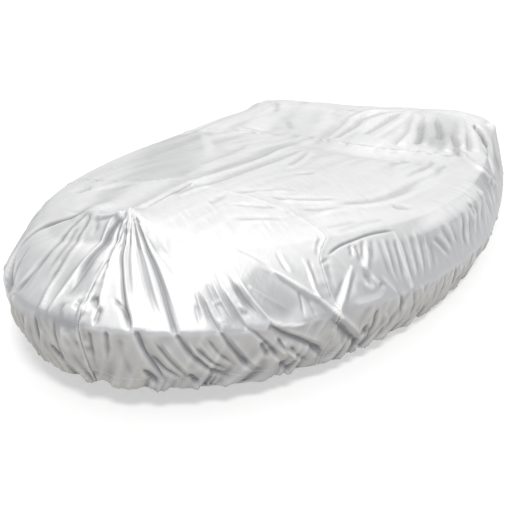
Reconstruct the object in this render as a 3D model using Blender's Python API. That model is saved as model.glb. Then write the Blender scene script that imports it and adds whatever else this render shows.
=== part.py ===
"""Fitted boat cover of coated silver cloth, in the shape that it takes over a small boat.

The cover is four cut panels: two bow panels that meet on a centre seam, one middle panel
of a single cloth width, and a stern panel.  Each panel is a thin closed sheet.  It runs
down from the crown of the top, over the shoulder and the gunwale, to a gathered hem that
turns in under the hull.

Frame: metres, +Z up, bow towards -Y, port side towards +X.  The world origin is under the
middle of the top.  The shape is worked out in a design frame with y = 0 at the bow and
z = 0 at the ground, and every panel is hung from one empty that moves it into place.
"""

import math

import bmesh
import bpy
import numpy as np
from mathutils import Vector

# ---------------------------------------------------------------- driving sizes (metres)
LENGTH = 2.86                 # bow to stern at the gunwale
HALF_BEAM = 0.845             # half of the widest breadth
WIDEST_Y = 1.63               # where the widest breadth lies, from the bow
BOW_POWER = 2.0               # roundness of the bow in plan, 2 is an ellipse
STERN_BREADTH = 0.92          # breadth at the stern as a share of the widest
CORNER_RADIUS = 0.11          # stern corners in plan

CLOTH = 0.002                 # thickness of the sheet
SEAM_GAP = 0.0004             # left open between two panels
HEM_TURN = 0.028              # cloth that turns in under the hull

MIDDLE_Y = 1.43               # the world origin lies here, from the bow
CROWN_UNDERSIDE = 0.407       # and this high above the ground

PEAK_Y = 0.285                # near peak of the bow, on the centre seam
STERN_POLE_Y = 2.50           # the stern ribs fan out from here

SEAM_A_Y = 0.63               # bow panels to middle panel, on the centreline
SEAM_B_Y = 1.95               # middle panel to stern panel, on the centreline

# Ribs are lines across the cloth, from the hem up to the centreline.
RIB_NUMBER = (0.0, 0.45, 1.0, 2.0, 2.6, 3.0)
RIB_PORT_GIRTH = (0.0, 0.42, 0.90, 2.32, 3.00, 3.9613)
RIB_STARBOARD_GIRTH = (0.0, 0.46, 1.05, 2.36, 3.02, 3.9613)
RIB_RIDGE_Y = (PEAK_Y, PEAK_Y, SEAM_A_Y, SEAM_B_Y, STERN_POLE_Y, STERN_POLE_Y)


HEM_INSET = 0.058             # how far the band under the gunwale draws in
HEM_SCALLOP = 0.006           # height of the waves of the gathered hem
WALL_BULGE = 0.022            # the wall between gunwale and shoulder stands out

# ---------------------------------------------------------------- sections along the boat
SECTION_COLUMNS = ("y", "gunwale_z", "shoulder_inset", "shoulder_z", "ridge_z",
                   "crown_power", "hem_z", "starboard_lift")
SECTIONS = (
    (0.00, 0.270, 0.210, 0.415, 0.474, 2.0, 0.072, 0.000),
    (0.30, 0.236, 0.170, 0.405, 0.473, 2.0, 0.052, -0.025),
    (0.62, 0.206, 0.135, 0.390, 0.470, 2.0, 0.032, -0.020),
    (1.43, 0.145, 0.105, 0.345, 0.410, 2.0, 0.008, 0.000),
    (1.95, 0.117, 0.100, 0.322, 0.360, 2.0, 0.006, 0.020),
    (2.40, 0.104, 0.100, 0.318, 0.392, 3.0, 0.012, 0.030),
    (2.66, 0.099, 0.100, 0.335, 0.415, 5.0, 0.016, 0.010),
    (2.86, 0.096, 0.095, 0.385, 0.415, 5.0, 0.019, 0.000),
)

# Places where the top stands up in a peak or sags, x to port and y from the bow.
MOUND_COLUMNS = ("x", "y", "rise", "radius_x", "radius_y")
MOUNDS = (
    (0.000, 0.285, 0.010, 0.05, 0.05),      # near peak
    (-0.185, 0.360, 0.020, 0.05, 0.06),     # far peak
    (0.300, 1.800, -0.042, 0.24, 0.18),     # sag before the stern rise
    (-0.250, 1.300, -0.010, 0.30, 0.40),    # slack of the far side
)

LEVEL_HEM, LEVEL_GUNWALE, LEVEL_SHOULDER, LEVEL_RIDGE = 0.0, 1.0, 2.0, 3.0

# The forward cross seam leaves its rib on the way down: girth added on each side.
SEAM_DRIFT_COLUMNS = ("level", "port", "starboard")
SEAM_DRIFT = (
    (-1.00, -0.19, 0.14),
    (1.00, -0.19, 0.14),
    (1.60, -0.15, 0.15),
    (2.10, -0.04, 0.14),
    (2.40, 0.00, 0.02),
    (3.00, 0.00, 0.00),
)
DRIFT_RIBS = (0.3, 1.0, 1.8)   # the drift starts, is whole and ends at these ribs


def column(name):
    """Values of one named column of the section table."""
    place = SECTION_COLUMNS.index(name)
    return np.array([row[place] for row in SECTIONS])


def section(name, y):
    """A section value at any place along the boat, smooth between the rows."""
    return smooth_table(column("y"), column(name), y)


def smooth_table(knots, values, at):
    """Monotone cubic through a short table, held flat past both ends."""
    at = np.clip(np.asarray(at, dtype=float), knots[0], knots[-1])
    steps = np.diff(knots)
    slopes = np.diff(values) / steps
    tangent = np.zeros(len(knots))
    for i in range(1, len(knots) - 1):
        if slopes[i - 1] * slopes[i] > 0.0:
            tangent[i] = 2.0 / (1.0 / slopes[i - 1] + 1.0 / slopes[i])
    tangent[0], tangent[-1] = slopes[0], slopes[-1]
    i = np.clip(np.searchsorted(knots, at, side="right") - 1, 0, len(steps) - 1)
    u = (at - knots[i]) / steps[i]
    return ((1 + 2 * u) * (1 - u) ** 2 * values[i] + u * (1 - u) ** 2 * steps[i] * tangent[i]
            + u * u * (3 - 2 * u) * values[i + 1] - u * u * (1 - u) * steps[i] * tangent[i + 1])


def smoothstep(low, high, value):
    """0 below low, 1 above high, eased between."""
    u = np.clip((value - low) / (high - low), 0.0, 1.0)
    return u * u * (3.0 - 2.0 * u)


# ---------------------------------------------------------------- plan of the gunwale
def half_breadth(y):
    """Half of the breadth at the gunwale, a place y from the bow."""
    u = np.clip(y / WIDEST_Y, 0.0, 1.0)
    bow = (1.0 - (1.0 - u) ** BOW_POWER) ** (1.0 / BOW_POWER)
    aft = np.clip((y - WIDEST_Y) / (LENGTH - WIDEST_Y), 0.0, 1.0)
    stern = 1.0 - (1.0 - STERN_BREADTH) * aft ** 2
    corner = np.clip((y - LENGTH + CORNER_RADIUS) / CORNER_RADIUS, 0.0, 1.0)
    rounding = CORNER_RADIUS * (1.0 - np.sqrt(1.0 - corner ** 2))
    return HALF_BEAM * np.where(y < WIDEST_Y, bow, stern) - rounding


def gunwale_plan():
    """Dense plan line of the port gunwale with its girth: columns girth, x, y."""
    turn = np.linspace(0.0, math.pi, 1601)
    y = LENGTH * 0.5 * (1.0 - np.cos(turn))
    x = half_breadth(y)
    across = np.linspace(x[-1], 0.0, 201)[1:]
    x = np.concatenate([x, across])
    y = np.concatenate([y, np.full(across.shape, LENGTH)])
    girth = np.concatenate([[0.0], np.cumsum(np.hypot(np.diff(x), np.diff(y)))])
    return girth, x, y


GIRTH, PLAN_X, PLAN_Y = gunwale_plan()
GIRTH_END = float(GIRTH[-1])


def rib_run(girth):
    """Rib number of a signed girth: 0 stem, 1 first seam, 2 second seam, 3 mid transom."""
    run = np.minimum(np.abs(girth), GIRTH_END)
    port = np.interp(run, RIB_PORT_GIRTH, RIB_NUMBER)
    return np.where(girth >= 0.0, port, np.interp(run, RIB_STARBOARD_GIRTH, RIB_NUMBER))


def rib_girth(rib, side):
    """Signed girth of a rib number on the port (+1) or starboard (-1) side."""
    if side > 0:
        return np.interp(rib, RIB_NUMBER, RIB_PORT_GIRTH)
    return -np.interp(rib, RIB_NUMBER, RIB_STARBOARD_GIRTH)


def base_point(girth, level):
    """Smooth cover surface at a signed girth (port positive) and a level from -1 to 3."""
    girth = np.asarray(girth, dtype=float)
    level = np.asarray(level, dtype=float)
    side = np.where(girth < 0.0, -1.0, 1.0)
    run = np.minimum(np.abs(girth), GIRTH_END)
    gx, gy = np.interp(run, GIRTH, PLAN_X), np.interp(run, GIRTH, PLAN_Y)
    cy = np.interp(rib_run(girth), RIB_NUMBER, RIB_RIDGE_Y)
    reach = np.hypot(gx, gy - cy)
    ex, ey = gx / reach, (gy - cy) / reach

    inset = np.minimum(section("shoulder_inset", gy), 0.75 * reach)
    gunwale_z, shoulder_z = section("gunwale_z", gy), section("shoulder_z", gy)
    shoulder_z = shoulder_z + np.where(side < 0.0, section("starboard_lift", gy), 0.0)
    ridge_z, power = section("ridge_z", cy), section("crown_power", gy)
    hem_z = section("hem_z", gy) + HEM_SCALLOP * scallop(side * run)

    q = np.clip(LEVEL_RIDGE - level, 0.0, 1.0)
    top_d = (reach - inset) * q
    top_z = shoulder_z + (ridge_z - shoulder_z) * (1.0 - q ** power)

    w = np.clip(level - LEVEL_GUNWALE, 0.0, 1.0)
    wall_d = reach - inset * w
    wall_z = gunwale_z + (shoulder_z - gunwale_z) * w + WALL_BULGE * np.sin(math.pi * w)

    h = np.clip(level, 0.0, 1.0)
    band_d = reach - HEM_INSET * (1.0 - h) ** 1.5
    band_z = hem_z + (gunwale_z - hem_z) * h

    turn = np.clip(-level, 0.0, 1.0)
    under_d = reach - HEM_INSET - HEM_TURN * turn
    under_z = hem_z - 0.15 * HEM_TURN * np.sin(math.pi * turn) + 0.25 * HEM_TURN * turn

    parts = [level >= LEVEL_SHOULDER, level >= LEVEL_GUNWALE, level >= LEVEL_HEM]
    d = np.select(parts, [top_d, wall_d, band_d], under_d)
    z = np.select(parts, [top_z, wall_z, band_z], under_z)
    x, y = side * ex * d, cy + ey * d
    for px, py, rise, radius_x, radius_y in MOUNDS:
        away = ((x - px) / radius_x) ** 2 + ((y - py) / radius_y) ** 2
        z = z + np.where(level > 1.2, rise * np.exp(-away) * smoothstep(1.2, 2.0, level), 0.0)
    return np.stack([x, y, z], axis=-1)


def scallop(girth):
    """Uneven waves of the gathered hem, about -1 to 1."""
    return (0.50 * np.sin(girth / 0.021 + 1.3 * np.sin(girth / 0.16))
            + 0.35 * np.sin(girth / 0.047 + 0.7) + 0.30 * np.sin(girth / 0.013 + girth * 3.0))


def base_normal(girth, level):
    """Outward unit normal of the smooth surface, the same from both sides of a seam."""
    step_g, step_l = 0.006, 0.03
    along = base_point(girth + step_g, level) - base_point(girth - step_g, level)
    rib = rib_run(girth)
    opposite = np.where(girth >= 0.0, rib_girth(rib, -1), rib_girth(rib, 1))
    over = level + step_l > LEVEL_RIDGE
    up_girth = np.where(over, opposite, girth)
    up_level = np.where(over, 2.0 * LEVEL_RIDGE - level - step_l, level + step_l)
    up = base_point(up_girth, up_level) - base_point(girth, level - step_l)
    normal = np.cross(along, up)
    length = np.linalg.norm(normal, axis=-1, keepdims=True)
    normal = normal / np.maximum(length, 1e-9)
    pole = length < 1e-5
    return np.where(pole, np.array([0.0, 0.0, 1.0]), normal)


# ---------------------------------------------------------------- folds
# A fold runs from (girth_a, level_a) to (girth_b, level_b) and sags sideways by bend at
# its middle.  Height is positive for a ridge, and lean makes the aft side wider.
FOLD_COLUMNS = ("girth_a", "level_a", "girth_b", "level_b", "bend",
                "width_a", "width_b", "height", "lean")
BOW_FOLDS = (
    # fan of the far peak
    (-0.63, 2.42, -0.45, 1.10, -0.120, 0.014, 0.030, -0.014, 0.2),
    (-0.61, 2.42, -0.36, 1.05, 0.010, 0.016, 0.034, 0.010, 0.0),
    (-0.60, 2.42, -0.29, 1.00, 0.080, 0.014, 0.026, -0.016, -0.3),
    (-0.57, 2.44, -0.21, 1.02, 0.090, 0.014, 0.026, 0.012, 0.3),
    (-0.54, 2.45, -0.14, 1.05, 0.080, 0.014, 0.026, 0.014, 0.0),
    # fan of the near peak, far side to near side
    (-0.20, 2.30, -0.10, 1.04, 0.030, 0.014, 0.024, 0.014, 0.0),
    (-0.13, 2.35, -0.06, 1.16, 0.030, 0.014, 0.034, -0.022, 0.2),
    (-0.07, 2.45, 0.036, 1.20, 0.020, 0.012, 0.018, 0.014, 0.0),
    (0.01, 2.30, 0.150, 0.96, 0.020, 0.012, 0.022, -0.018, 0.3),
    (0.06, 2.30, 0.165, 1.02, 0.010, 0.010, 0.016, 0.012, 0.0),
    (0.15, 2.70, 0.215, 1.02, 0.020, 0.012, 0.024, -0.013, 0.2),
    (0.19, 2.60, 0.237, 1.04, 0.005, 0.012, 0.020, 0.007, 0.0),
    (0.24, 2.30, 0.257, 0.96, 0.000, 0.012, 0.016, -0.009, 0.0),
    # crumpled pocket low on the stem
    (-0.11, 1.12, 0.010, 1.20, 0.000, 0.026, 0.030, 0.022, 0.0),
    (0.030, 1.30, 0.020, 1.12, 0.000, 0.014, 0.014, -0.016, 0.0),
    # straight edge from the near peak to the far peak
    (0.00, 2.86, -0.62, 2.46, 0.000, 0.022, 0.022, 0.010, 0.0),
)
NEAR_FOLDS = (
    # tension ridge from the shoulder down to the hem, with the flat hollow before it
    (0.50, 2.10, 0.84, 0.25, 0.000, 0.022, 0.024, 0.030, -0.2),
    (0.47, 1.75, 0.60, 1.08, 0.000, 0.040, 0.055, -0.018, 0.0),
    (0.42, 1.75, 0.41, 1.08, 0.000, 0.014, 0.018, 0.009, 0.0),
    (0.37, 1.62, 0.36, 1.04, 0.000, 0.014, 0.018, -0.008, 0.0),
    # slit and spike under the near shoulder
    (0.80, 1.72, 1.12, 1.85, 0.000, 0.016, 0.014, -0.012, 0.4),
    (0.85, 1.50, 0.70, 1.02, 0.000, 0.012, 0.018, 0.014, 0.0),
    (0.78, 1.62, 0.80, 1.12, 0.000, 0.026, 0.034, -0.014, 0.0),
    (0.88, 1.66, 0.90, 1.04, 0.000, 0.014, 0.018, 0.011, 0.0),
    (0.95, 1.72, 0.93, 1.06, 0.000, 0.018, 0.022, -0.012, 0.0),
    # gathers of the near wall
    (1.03, 1.78, 0.98, 1.05, 0.000, 0.018, 0.020, 0.012, 0.2),
    (1.10, 1.72, 1.05, 1.02, 0.000, 0.018, 0.022, -0.010, 0.0),
    (1.18, 1.72, 1.13, 1.02, 0.000, 0.018, 0.022, 0.012, -0.2),
    (1.27, 1.66, 1.21, 1.02, 0.000, 0.018, 0.022, -0.009, 0.0),
    (1.36, 1.62, 1.32, 1.02, 0.000, 0.018, 0.024, 0.011, 0.0),
    (1.70, 1.55, 1.78, 1.32, 0.000, 0.040, 0.040, -0.020, 0.0),
    # tension ridge to the near stern corner and the deep valley behind it
    (2.36, 2.24, 2.42, 1.20, 0.020, 0.020, 0.026, 0.030, 0.0),
    (3.04, 2.12, 2.54, 1.35, 0.000, 0.040, 0.045, -0.045, 0.0),
    (3.16, 2.00, 2.86, 1.15, 0.000, 0.040, 0.050, 0.022, 0.0),
    # slanted folds of the band under the gunwale
    (0.155, 1.00, 0.290, 0.12, 0.010, 0.016, 0.028, -0.018, 0.3),
    (0.200, 0.98, 0.330, 0.12, 0.010, 0.014, 0.022, 0.010, 0.0),
    (0.257, 0.98, 0.380, 0.18, 0.010, 0.014, 0.022, -0.014, 0.3),
    (0.363, 0.99, 0.500, 0.28, 0.010, 0.014, 0.022, -0.013, 0.2),
    (0.475, 1.00, 0.590, 0.24, 0.010, 0.014, 0.022, -0.015, 0.2),
    (0.520, 1.00, 0.690, 0.22, 0.010, 0.014, 0.022, 0.012, 0.0),
    (0.610, 0.98, 0.750, 0.20, 0.010, 0.014, 0.026, -0.016, 0.2),
)
TOP_FOLDS = (
    # pair of soft ridges along the centreline, with the slack between them
    (-1.02, 2.97, -2.34, 2.97, 0.000, 0.020, 0.026, 0.009, 0.0),
    (-1.05, 2.92, -2.44, 2.73, 0.000, 0.022, 0.030, 0.010, 0.0),
    (-1.10, 2.95, -2.38, 2.86, 0.000, 0.024, 0.030, -0.007, 0.0),
    # wrinkles that run together on the near side of the top
    (0.92, 2.72, 1.06, 2.50, 0.000, 0.020, 0.026, 0.006, 0.0),
    (0.95, 2.56, 1.27, 2.18, 0.000, 0.022, 0.030, -0.010, 0.0),
    (0.93, 2.46, 1.24, 2.17, 0.000, 0.020, 0.026, 0.007, 0.0),
    (1.27, 2.18, 2.15, 2.24, 0.000, 0.030, 0.045, -0.014, 0.0),
    (1.20, 2.26, 2.05, 2.46, 0.000, 0.030, 0.045, 0.008, 0.0),
    # long edge of the slack far side
    (-2.50, 2.10, -1.12, 2.88, 0.000, 0.026, 0.032, 0.009, 0.0),
    (-0.99, 2.30, -0.94, 2.18, 0.000, 0.035, 0.035, -0.020, 0.0),
    # star where the centreline meets the second seam, rising to the stern
    (2.33, 2.93, 3.30, 2.84, 0.000, 0.016, 0.030, 0.014, 0.0),
    (2.32, 2.88, 3.06, 2.68, 0.000, 0.016, 0.030, 0.013, 0.0),
    (2.32, 2.91, 3.14, 2.76, 0.000, 0.016, 0.026, -0.010, 0.0),
    # upright folds of the stern rise, middle to near side
    (2.20, 2.56, 3.02, 2.60, 0.000, 0.024, 0.024, -0.012, 0.0),
    (2.18, 2.49, 3.00, 2.54, 0.000, 0.022, 0.024, 0.016, 0.0),
    (2.22, 2.42, 2.98, 2.47, 0.000, 0.022, 0.024, -0.015, 0.0),
    (2.25, 2.36, 2.98, 2.41, 0.000, 0.020, 0.024, 0.014, 0.0),
    (2.30, 2.29, 2.98, 2.34, 0.000, 0.020, 0.022, -0.014, 0.0),
    (2.33, 2.23, 2.98, 2.27, 0.000, 0.020, 0.022, 0.014, 0.0),
)

# A run is many like folds side by side, each a little different from its neighbour.
RUN_COLUMNS = ("girth_from", "girth_to", "spacing", "level_a", "level_b",
               "slant", "width", "height", "unevenness")
FOLD_RUNS = (
    (0.86, 3.94, 0.095, 1.00, 0.12, 0.09, 0.022, 0.011, 0.5),      # port band
    (-0.06, -3.94, 0.095, 1.00, 0.12, -0.07, 0.022, 0.011, 0.5),   # starboard band
    (1.46, 2.28, 0.095, 1.80, 1.04, -0.04, 0.024, 0.011, 0.5),     # port wall
    (-0.80, -3.00, 0.115, 1.85, 1.04, 0.05, 0.028, 0.012, 0.6),    # starboard wall
    (3.26, 3.92, 0.120, 1.90, 1.02, -0.05, 0.030, 0.014, 0.5),     # port transom
    (-3.14, -3.92, 0.120, 1.90, 1.02, 0.05, 0.030, 0.014, 0.5),    # starboard transom
    (-2.42, -3.00, 0.120, 2.70, 2.10, 0.10, 0.030, 0.010, 0.6),    # far stern rise
)
FOLD_STEPS = 14               # straight pieces that stand for one fold
END_FADE = 0.14               # share of its length over which a fold fades out


def jitter(number):
    """A fixed uneven value from -1 to 1 for each number."""
    value = math.sin(number * 12.9898 + 4.1414) * 43758.5453
    return 2.0 * (value - math.floor(value)) - 1.0


def run_folds():
    """Every fold of every run, in the columns of the fold table."""
    folds = []
    for number, run in enumerate(FOLD_RUNS):
        row = dict(zip(RUN_COLUMNS, run))
        span = row["girth_to"] - row["girth_from"]
        count = int(abs(span) / row["spacing"])
        for i in range(count):
            key = 31.0 * number + i
            uneven = row["unevenness"]
            girth = row["girth_from"] + span * (i + 0.5 + 0.4 * uneven * jitter(key)) / count
            slant = row["slant"] * (1.0 + uneven * jitter(key + 0.3))
            top = row["level_a"] + (row["level_b"] - row["level_a"]) * 0.18 * jitter(key + 0.9)
            width = row["width"] * (1.0 + 0.5 * uneven * jitter(key + 0.5))
            height = row["height"] * (1.0 + uneven * jitter(key + 0.7))
            height = height if i % 2 else -height
            folds.append((girth, top, girth + slant, row["level_b"], 0.3 * slant,
                          0.8 * width, width, height, 0.3 * jitter(key + 0.1)))
    return folds


ALL_FOLDS = BOW_FOLDS + NEAR_FOLDS + TOP_FOLDS + tuple(run_folds())


def fold_line(row):
    """Points of one fold on the smooth surface."""
    u = np.linspace(0.0, 1.0, FOLD_STEPS + 1)
    girth = row["girth_a"] + (row["girth_b"] - row["girth_a"]) * u
    girth = girth + row["bend"] * 4.0 * u * (1.0 - u)
    level = row["level_a"] + (row["level_b"] - row["level_a"]) * u
    return base_point(girth, level)


FOLD_ROWS = tuple(dict(zip(FOLD_COLUMNS, fold)) for fold in ALL_FOLDS)
FOLD_LINES = tuple((row, fold_line(row)) for row in FOLD_ROWS)


def fold_lift(points, normals):
    """Height that all folds add to each point along its normal."""
    lift = np.zeros(len(points))
    for row, line in FOLD_LINES:
        reach = 3.0 * max(row["width_a"], row["width_b"])
        inside = np.all((points > line.min(axis=0) - reach)
                        & (points < line.max(axis=0) + reach), axis=1)
        near = np.nonzero(inside)[0]
        if len(near) == 0:
            continue
        starts, steps = line[:-1], np.diff(line, axis=0)
        offset = points[near][:, None, :] - starts[None, :, :]
        share = np.sum(offset * steps, axis=2) / np.maximum(np.sum(steps * steps, axis=1), 1e-12)
        share = np.clip(share, 0.0, 1.0)
        away = offset - share[..., None] * steps
        distance = np.linalg.norm(away, axis=2)
        pick = np.argmin(distance, axis=1)
        rows = np.arange(len(near))
        along = (pick + share[rows, pick]) / FOLD_STEPS
        across = np.cross(steps[pick], away[rows, pick])
        lean = row["lean"] * np.sign(np.sum(across * normals[near], axis=1))
        width = (row["width_a"] + (row["width_b"] - row["width_a"]) * along) * (1.0 + lean)
        fade = smoothstep(0.0, END_FADE, along) * (1.0 - smoothstep(1.0 - END_FADE, 1.0, along))
        lift[near] += row["height"] * fade * np.exp(-(distance[rows, pick] / width) ** 2)
    return lift


def cloth_point(girth, level):
    """Outer face of the cloth with its folds."""
    points, normals = base_point(girth, level), base_normal(girth, level)
    return points + normals * fold_lift(points, normals)[:, None]


def cloth_normal(girth, level):
    """Outward normal of the folded cloth, the same from both sides of a seam."""
    step_g, step_l = 0.008, 0.05
    rib = rib_run(girth)
    opposite = np.where(girth >= 0.0, rib_girth(rib, -1), rib_girth(rib, 1))
    over = level + step_l > LEVEL_RIDGE
    up_girth = np.where(over, opposite, girth)
    up_level = np.where(over, 2.0 * LEVEL_RIDGE - level - step_l, level + step_l)
    down_level = np.maximum(level - step_l, -1.0)
    along = cloth_point(girth + step_g, level) - cloth_point(girth - step_g, level)
    up = cloth_point(up_girth, up_level) - cloth_point(girth, down_level)
    normal = np.cross(along, up)
    length = np.linalg.norm(normal, axis=1, keepdims=True)
    upright = np.broadcast_to(np.array([0.0, 0.0, 1.0]), normal.shape)
    return np.where(length < 1e-6, upright, normal / np.maximum(length, 1e-9))


# ---------------------------------------------------------------- panels
# Levels of the rows of one rib, from the turned-in hem to the centreline.
RIB_LEVELS = (-1.0, -0.4, 0.0, 0.22, 0.45, 0.70, 0.90, 1.0, 1.12, 1.30, 1.50, 1.70,
              1.87, 2.02, 2.20, 2.40, 2.60, 2.80, 3.0)

PANEL_COLUMNS = ("name", "rib_from", "rib_to", "ribs", "halves", "colour")
PANELS = (
    ("bow_port", 0.0, 1.0, 42, (1,), (0.86, 0.86, 0.84)),
    ("bow_starboard", 0.0, 1.0, 42, (-1,), (0.82, 0.83, 0.84)),
    ("middle", 1.0, 2.0, 38, (1, -1), (0.85, 0.85, 0.84)),
    ("stern", 2.0, 3.0, 36, (1, -1), (0.80, 0.80, 0.79)),
)


def seam_drift(rib, level, side):
    """Girth that the drift of the forward cross seam adds at a rib and a level."""
    table = np.array(SEAM_DRIFT)
    name = "port" if side > 0 else "starboard"
    whole = smooth_table(table[:, 0], table[:, SEAM_DRIFT_COLUMNS.index(name)], level)
    start, full, end = DRIFT_RIBS
    return side * whole * smoothstep(start, full, rib) * (1.0 - smoothstep(full, end, rib))


def panel_grid(row):
    """Signed girth and level of each point of a panel, one line for each rib."""
    levels = np.array(RIB_LEVELS)
    half_gap = 0.5 * SEAM_GAP
    grids = []
    for side in row["halves"]:
        first = rib_girth(row["rib_from"], side) + side * half_gap
        last = rib_girth(row["rib_to"], side)
        if row["rib_to"] < RIB_NUMBER[-1]:
            last -= side * half_gap
        low, high = rib_run(first), rib_run(last)
        ribs = low + (high - low) * np.linspace(0.0, 1.0, row["ribs"] + 1)
        girth = rib_girth(ribs, side)
        girth[0], girth[-1] = first, last
        level = np.repeat(levels[None, :], len(girth), axis=0)
        grids.append((girth[:, None] + seam_drift(ribs[:, None], level, side), level))
    if len(grids) == 1:
        girth, level = grids[0]
        return (girth, level) if row["halves"][0] > 0 else (girth[::-1], level[::-1])
    (port_g, port_l), (star_g, star_l) = grids
    return (np.concatenate([port_g, star_g[:, -2::-1]], axis=1),
            np.concatenate([port_l, star_l[:, -2::-1]], axis=1))


def merged(points, tolerance=2e-5):
    """One index for all points that lie at one place, and the first of each."""
    seen, index, keep = {}, [], []
    for number, point in enumerate(points):
        key = tuple(int(round(value / tolerance)) for value in point)
        if key not in seen:
            seen[key] = len(keep)
            keep.append(number)
        index.append(seen[key])
    return np.array(index), np.array(keep)


def sheet_faces(index):
    """Faces of a grid of point numbers, without the corners that have run together."""
    faces = []
    for i in range(index.shape[0] - 1):
        for j in range(index.shape[1] - 1):
            loop = (index[i, j], index[i + 1, j], index[i + 1, j + 1], index[i, j + 1])
            corners = [int(v) for n, v in enumerate(loop) if v != loop[n - 1]]
            if len(set(corners)) >= 3:
                faces.append(corners)
    return faces


def triangles(faces, points):
    """Each four-cornered face cut along its shorter diagonal."""
    cut = []
    for face in faces:
        if len(face) == 3:
            cut.append(face)
            continue
        a, b, c, d = face
        if np.linalg.norm(points[a] - points[c]) <= np.linalg.norm(points[b] - points[d]):
            cut.extend(([a, b, c], [a, c, d]))
        else:
            cut.extend(([a, b, d], [b, c, d]))
    return cut


# Two rims that face each other are cut alike: each from its end that is first this way.
RIM_ORDER = np.array([-0.17, 0.31, 1.0])


def make_panel(row, parent):
    """One panel: its folded outer face, the inner face under it and the rim between."""
    girth, level = panel_grid(row)
    flat_girth, flat_level = girth.ravel(), level.ravel()
    outer = cloth_point(flat_girth, flat_level)
    normal = cloth_normal(flat_girth, flat_level)
    index, keep = merged(outer)
    outer, normal = outer[keep], normal[keep]
    inner = outer - CLOTH * normal
    if len(row["halves"]) == 1:
        side, half_gap = row["halves"][0], 0.5 * SEAM_GAP
        for face in (outer, inner):
            face[:, 0] = side * np.maximum(side * face[:, 0], half_gap)

    faces = triangles(sheet_faces(index.reshape(girth.shape)), outer)
    mesh = bmesh.new()
    top = [mesh.verts.new(Vector(point)) for point in outer]
    bottom = [mesh.verts.new(Vector(point)) for point in inner]
    for face in faces:
        mesh.faces.new([top[v] for v in face])
    rim = [edge for edge in mesh.edges if edge.is_boundary]
    number = {vert: n for n, vert in enumerate(top)}
    for face in faces:
        mesh.faces.new([bottom[v] for v in reversed(face)])
    for edge in rim:
        loop = edge.link_loops[0]
        a, b = number[loop.vert], number[loop.link_loop_next.vert]
        if outer[a] @ RIM_ORDER > outer[b] @ RIM_ORDER:
            mesh.faces.new((top[b], top[a], bottom[a]))
            mesh.faces.new((top[b], bottom[a], bottom[b]))
        else:
            mesh.faces.new((top[b], top[a], bottom[b]))
            mesh.faces.new((top[a], bottom[a], bottom[b]))

    data = bpy.data.meshes.new(row["name"])
    mesh.to_mesh(data)
    mesh.free()
    data.shade_smooth()
    panel = bpy.data.objects.new(row["name"], data)
    bpy.context.scene.collection.objects.link(panel)
    panel.parent = parent
    data.materials.append(cloth_material(row["name"] + "_cloth", row["colour"]))
    return panel


def cloth_material(name, colour):
    """Silver coated cloth with a soft sheen."""
    material = bpy.data.materials.new(name)
    material.use_nodes = True
    shader = material.node_tree.nodes["Principled BSDF"]
    shader.inputs["Base Color"].default_value = (*colour, 1.0)
    shader.inputs["Roughness"].default_value = 0.42
    shader.inputs["Metallic"].default_value = 0.25
    return material


def main():
    """Builds the four panels of the cover."""
    for thing in list(bpy.data.objects):
        bpy.data.objects.remove(thing, do_unlink=True)
    root = bpy.data.objects.new("cover_frame", None)
    root.location = (0.0, -MIDDLE_Y, -CROWN_UNDERSIDE)
    bpy.context.scene.collection.objects.link(root)
    for panel in PANELS:
        make_panel(dict(zip(PANEL_COLUMNS, panel)), root)
    bpy.context.view_layer.update()


if __name__ == "__main__":
    main()
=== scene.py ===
"""Looks of the fitted boat cover: silver cloth, sewn seams and a gathered hem.

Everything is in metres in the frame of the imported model: +Z up, bow towards -Y, port side
towards +X, and the origin under the middle of the top.  The cloth is described by a girth
round the gunwale (port positive) and a level up the cloth: -1 the end of the turned-in
hem, 0 the hem, 1 the gunwale, 2 the shoulder and 3 the centreline of the top.
"""

from __future__ import annotations

import logging
import math
from dataclasses import dataclass, field
from enum import Enum
from functools import cached_property
from typing import Sequence

import bmesh
import bpy
import numpy as np
from mathutils import Matrix, Vector

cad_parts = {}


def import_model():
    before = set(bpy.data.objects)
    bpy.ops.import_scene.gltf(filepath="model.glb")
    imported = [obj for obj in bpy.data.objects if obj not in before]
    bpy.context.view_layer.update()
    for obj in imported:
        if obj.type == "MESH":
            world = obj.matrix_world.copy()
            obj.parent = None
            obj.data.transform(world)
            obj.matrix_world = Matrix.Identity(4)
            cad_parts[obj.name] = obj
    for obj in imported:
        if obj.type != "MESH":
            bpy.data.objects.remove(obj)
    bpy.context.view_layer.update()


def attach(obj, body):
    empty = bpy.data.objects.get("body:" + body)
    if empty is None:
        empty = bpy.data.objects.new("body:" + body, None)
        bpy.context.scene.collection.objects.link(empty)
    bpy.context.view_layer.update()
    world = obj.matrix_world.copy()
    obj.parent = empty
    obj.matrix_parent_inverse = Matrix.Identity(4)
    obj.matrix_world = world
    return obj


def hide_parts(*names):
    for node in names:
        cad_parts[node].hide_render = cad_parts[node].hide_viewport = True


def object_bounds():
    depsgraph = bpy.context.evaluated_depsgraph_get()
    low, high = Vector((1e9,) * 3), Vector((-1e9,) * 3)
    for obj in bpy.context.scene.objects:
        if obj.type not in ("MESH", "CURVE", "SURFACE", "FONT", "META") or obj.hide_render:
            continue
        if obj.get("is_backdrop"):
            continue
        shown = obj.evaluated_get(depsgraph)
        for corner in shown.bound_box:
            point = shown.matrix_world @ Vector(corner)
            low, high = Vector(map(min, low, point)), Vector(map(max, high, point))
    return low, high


LOG = logging.getLogger("cover")
BODY = "root"
CLOTH_SLOT = "silver_cloth"
Colour = tuple[float, float, float]
Path = tuple[tuple[float, float], ...]  # girth and level by rows, over 3 across the ridge
END, HEM, GUNWALE, SHOULDER, RIDGE = -1.0, 0.0, 1.0, 2.0, 3.0  # levels up the cloth
MERGE_DISTANCE = 2e-5  # metres, nearer points of a sheet are one


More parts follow.
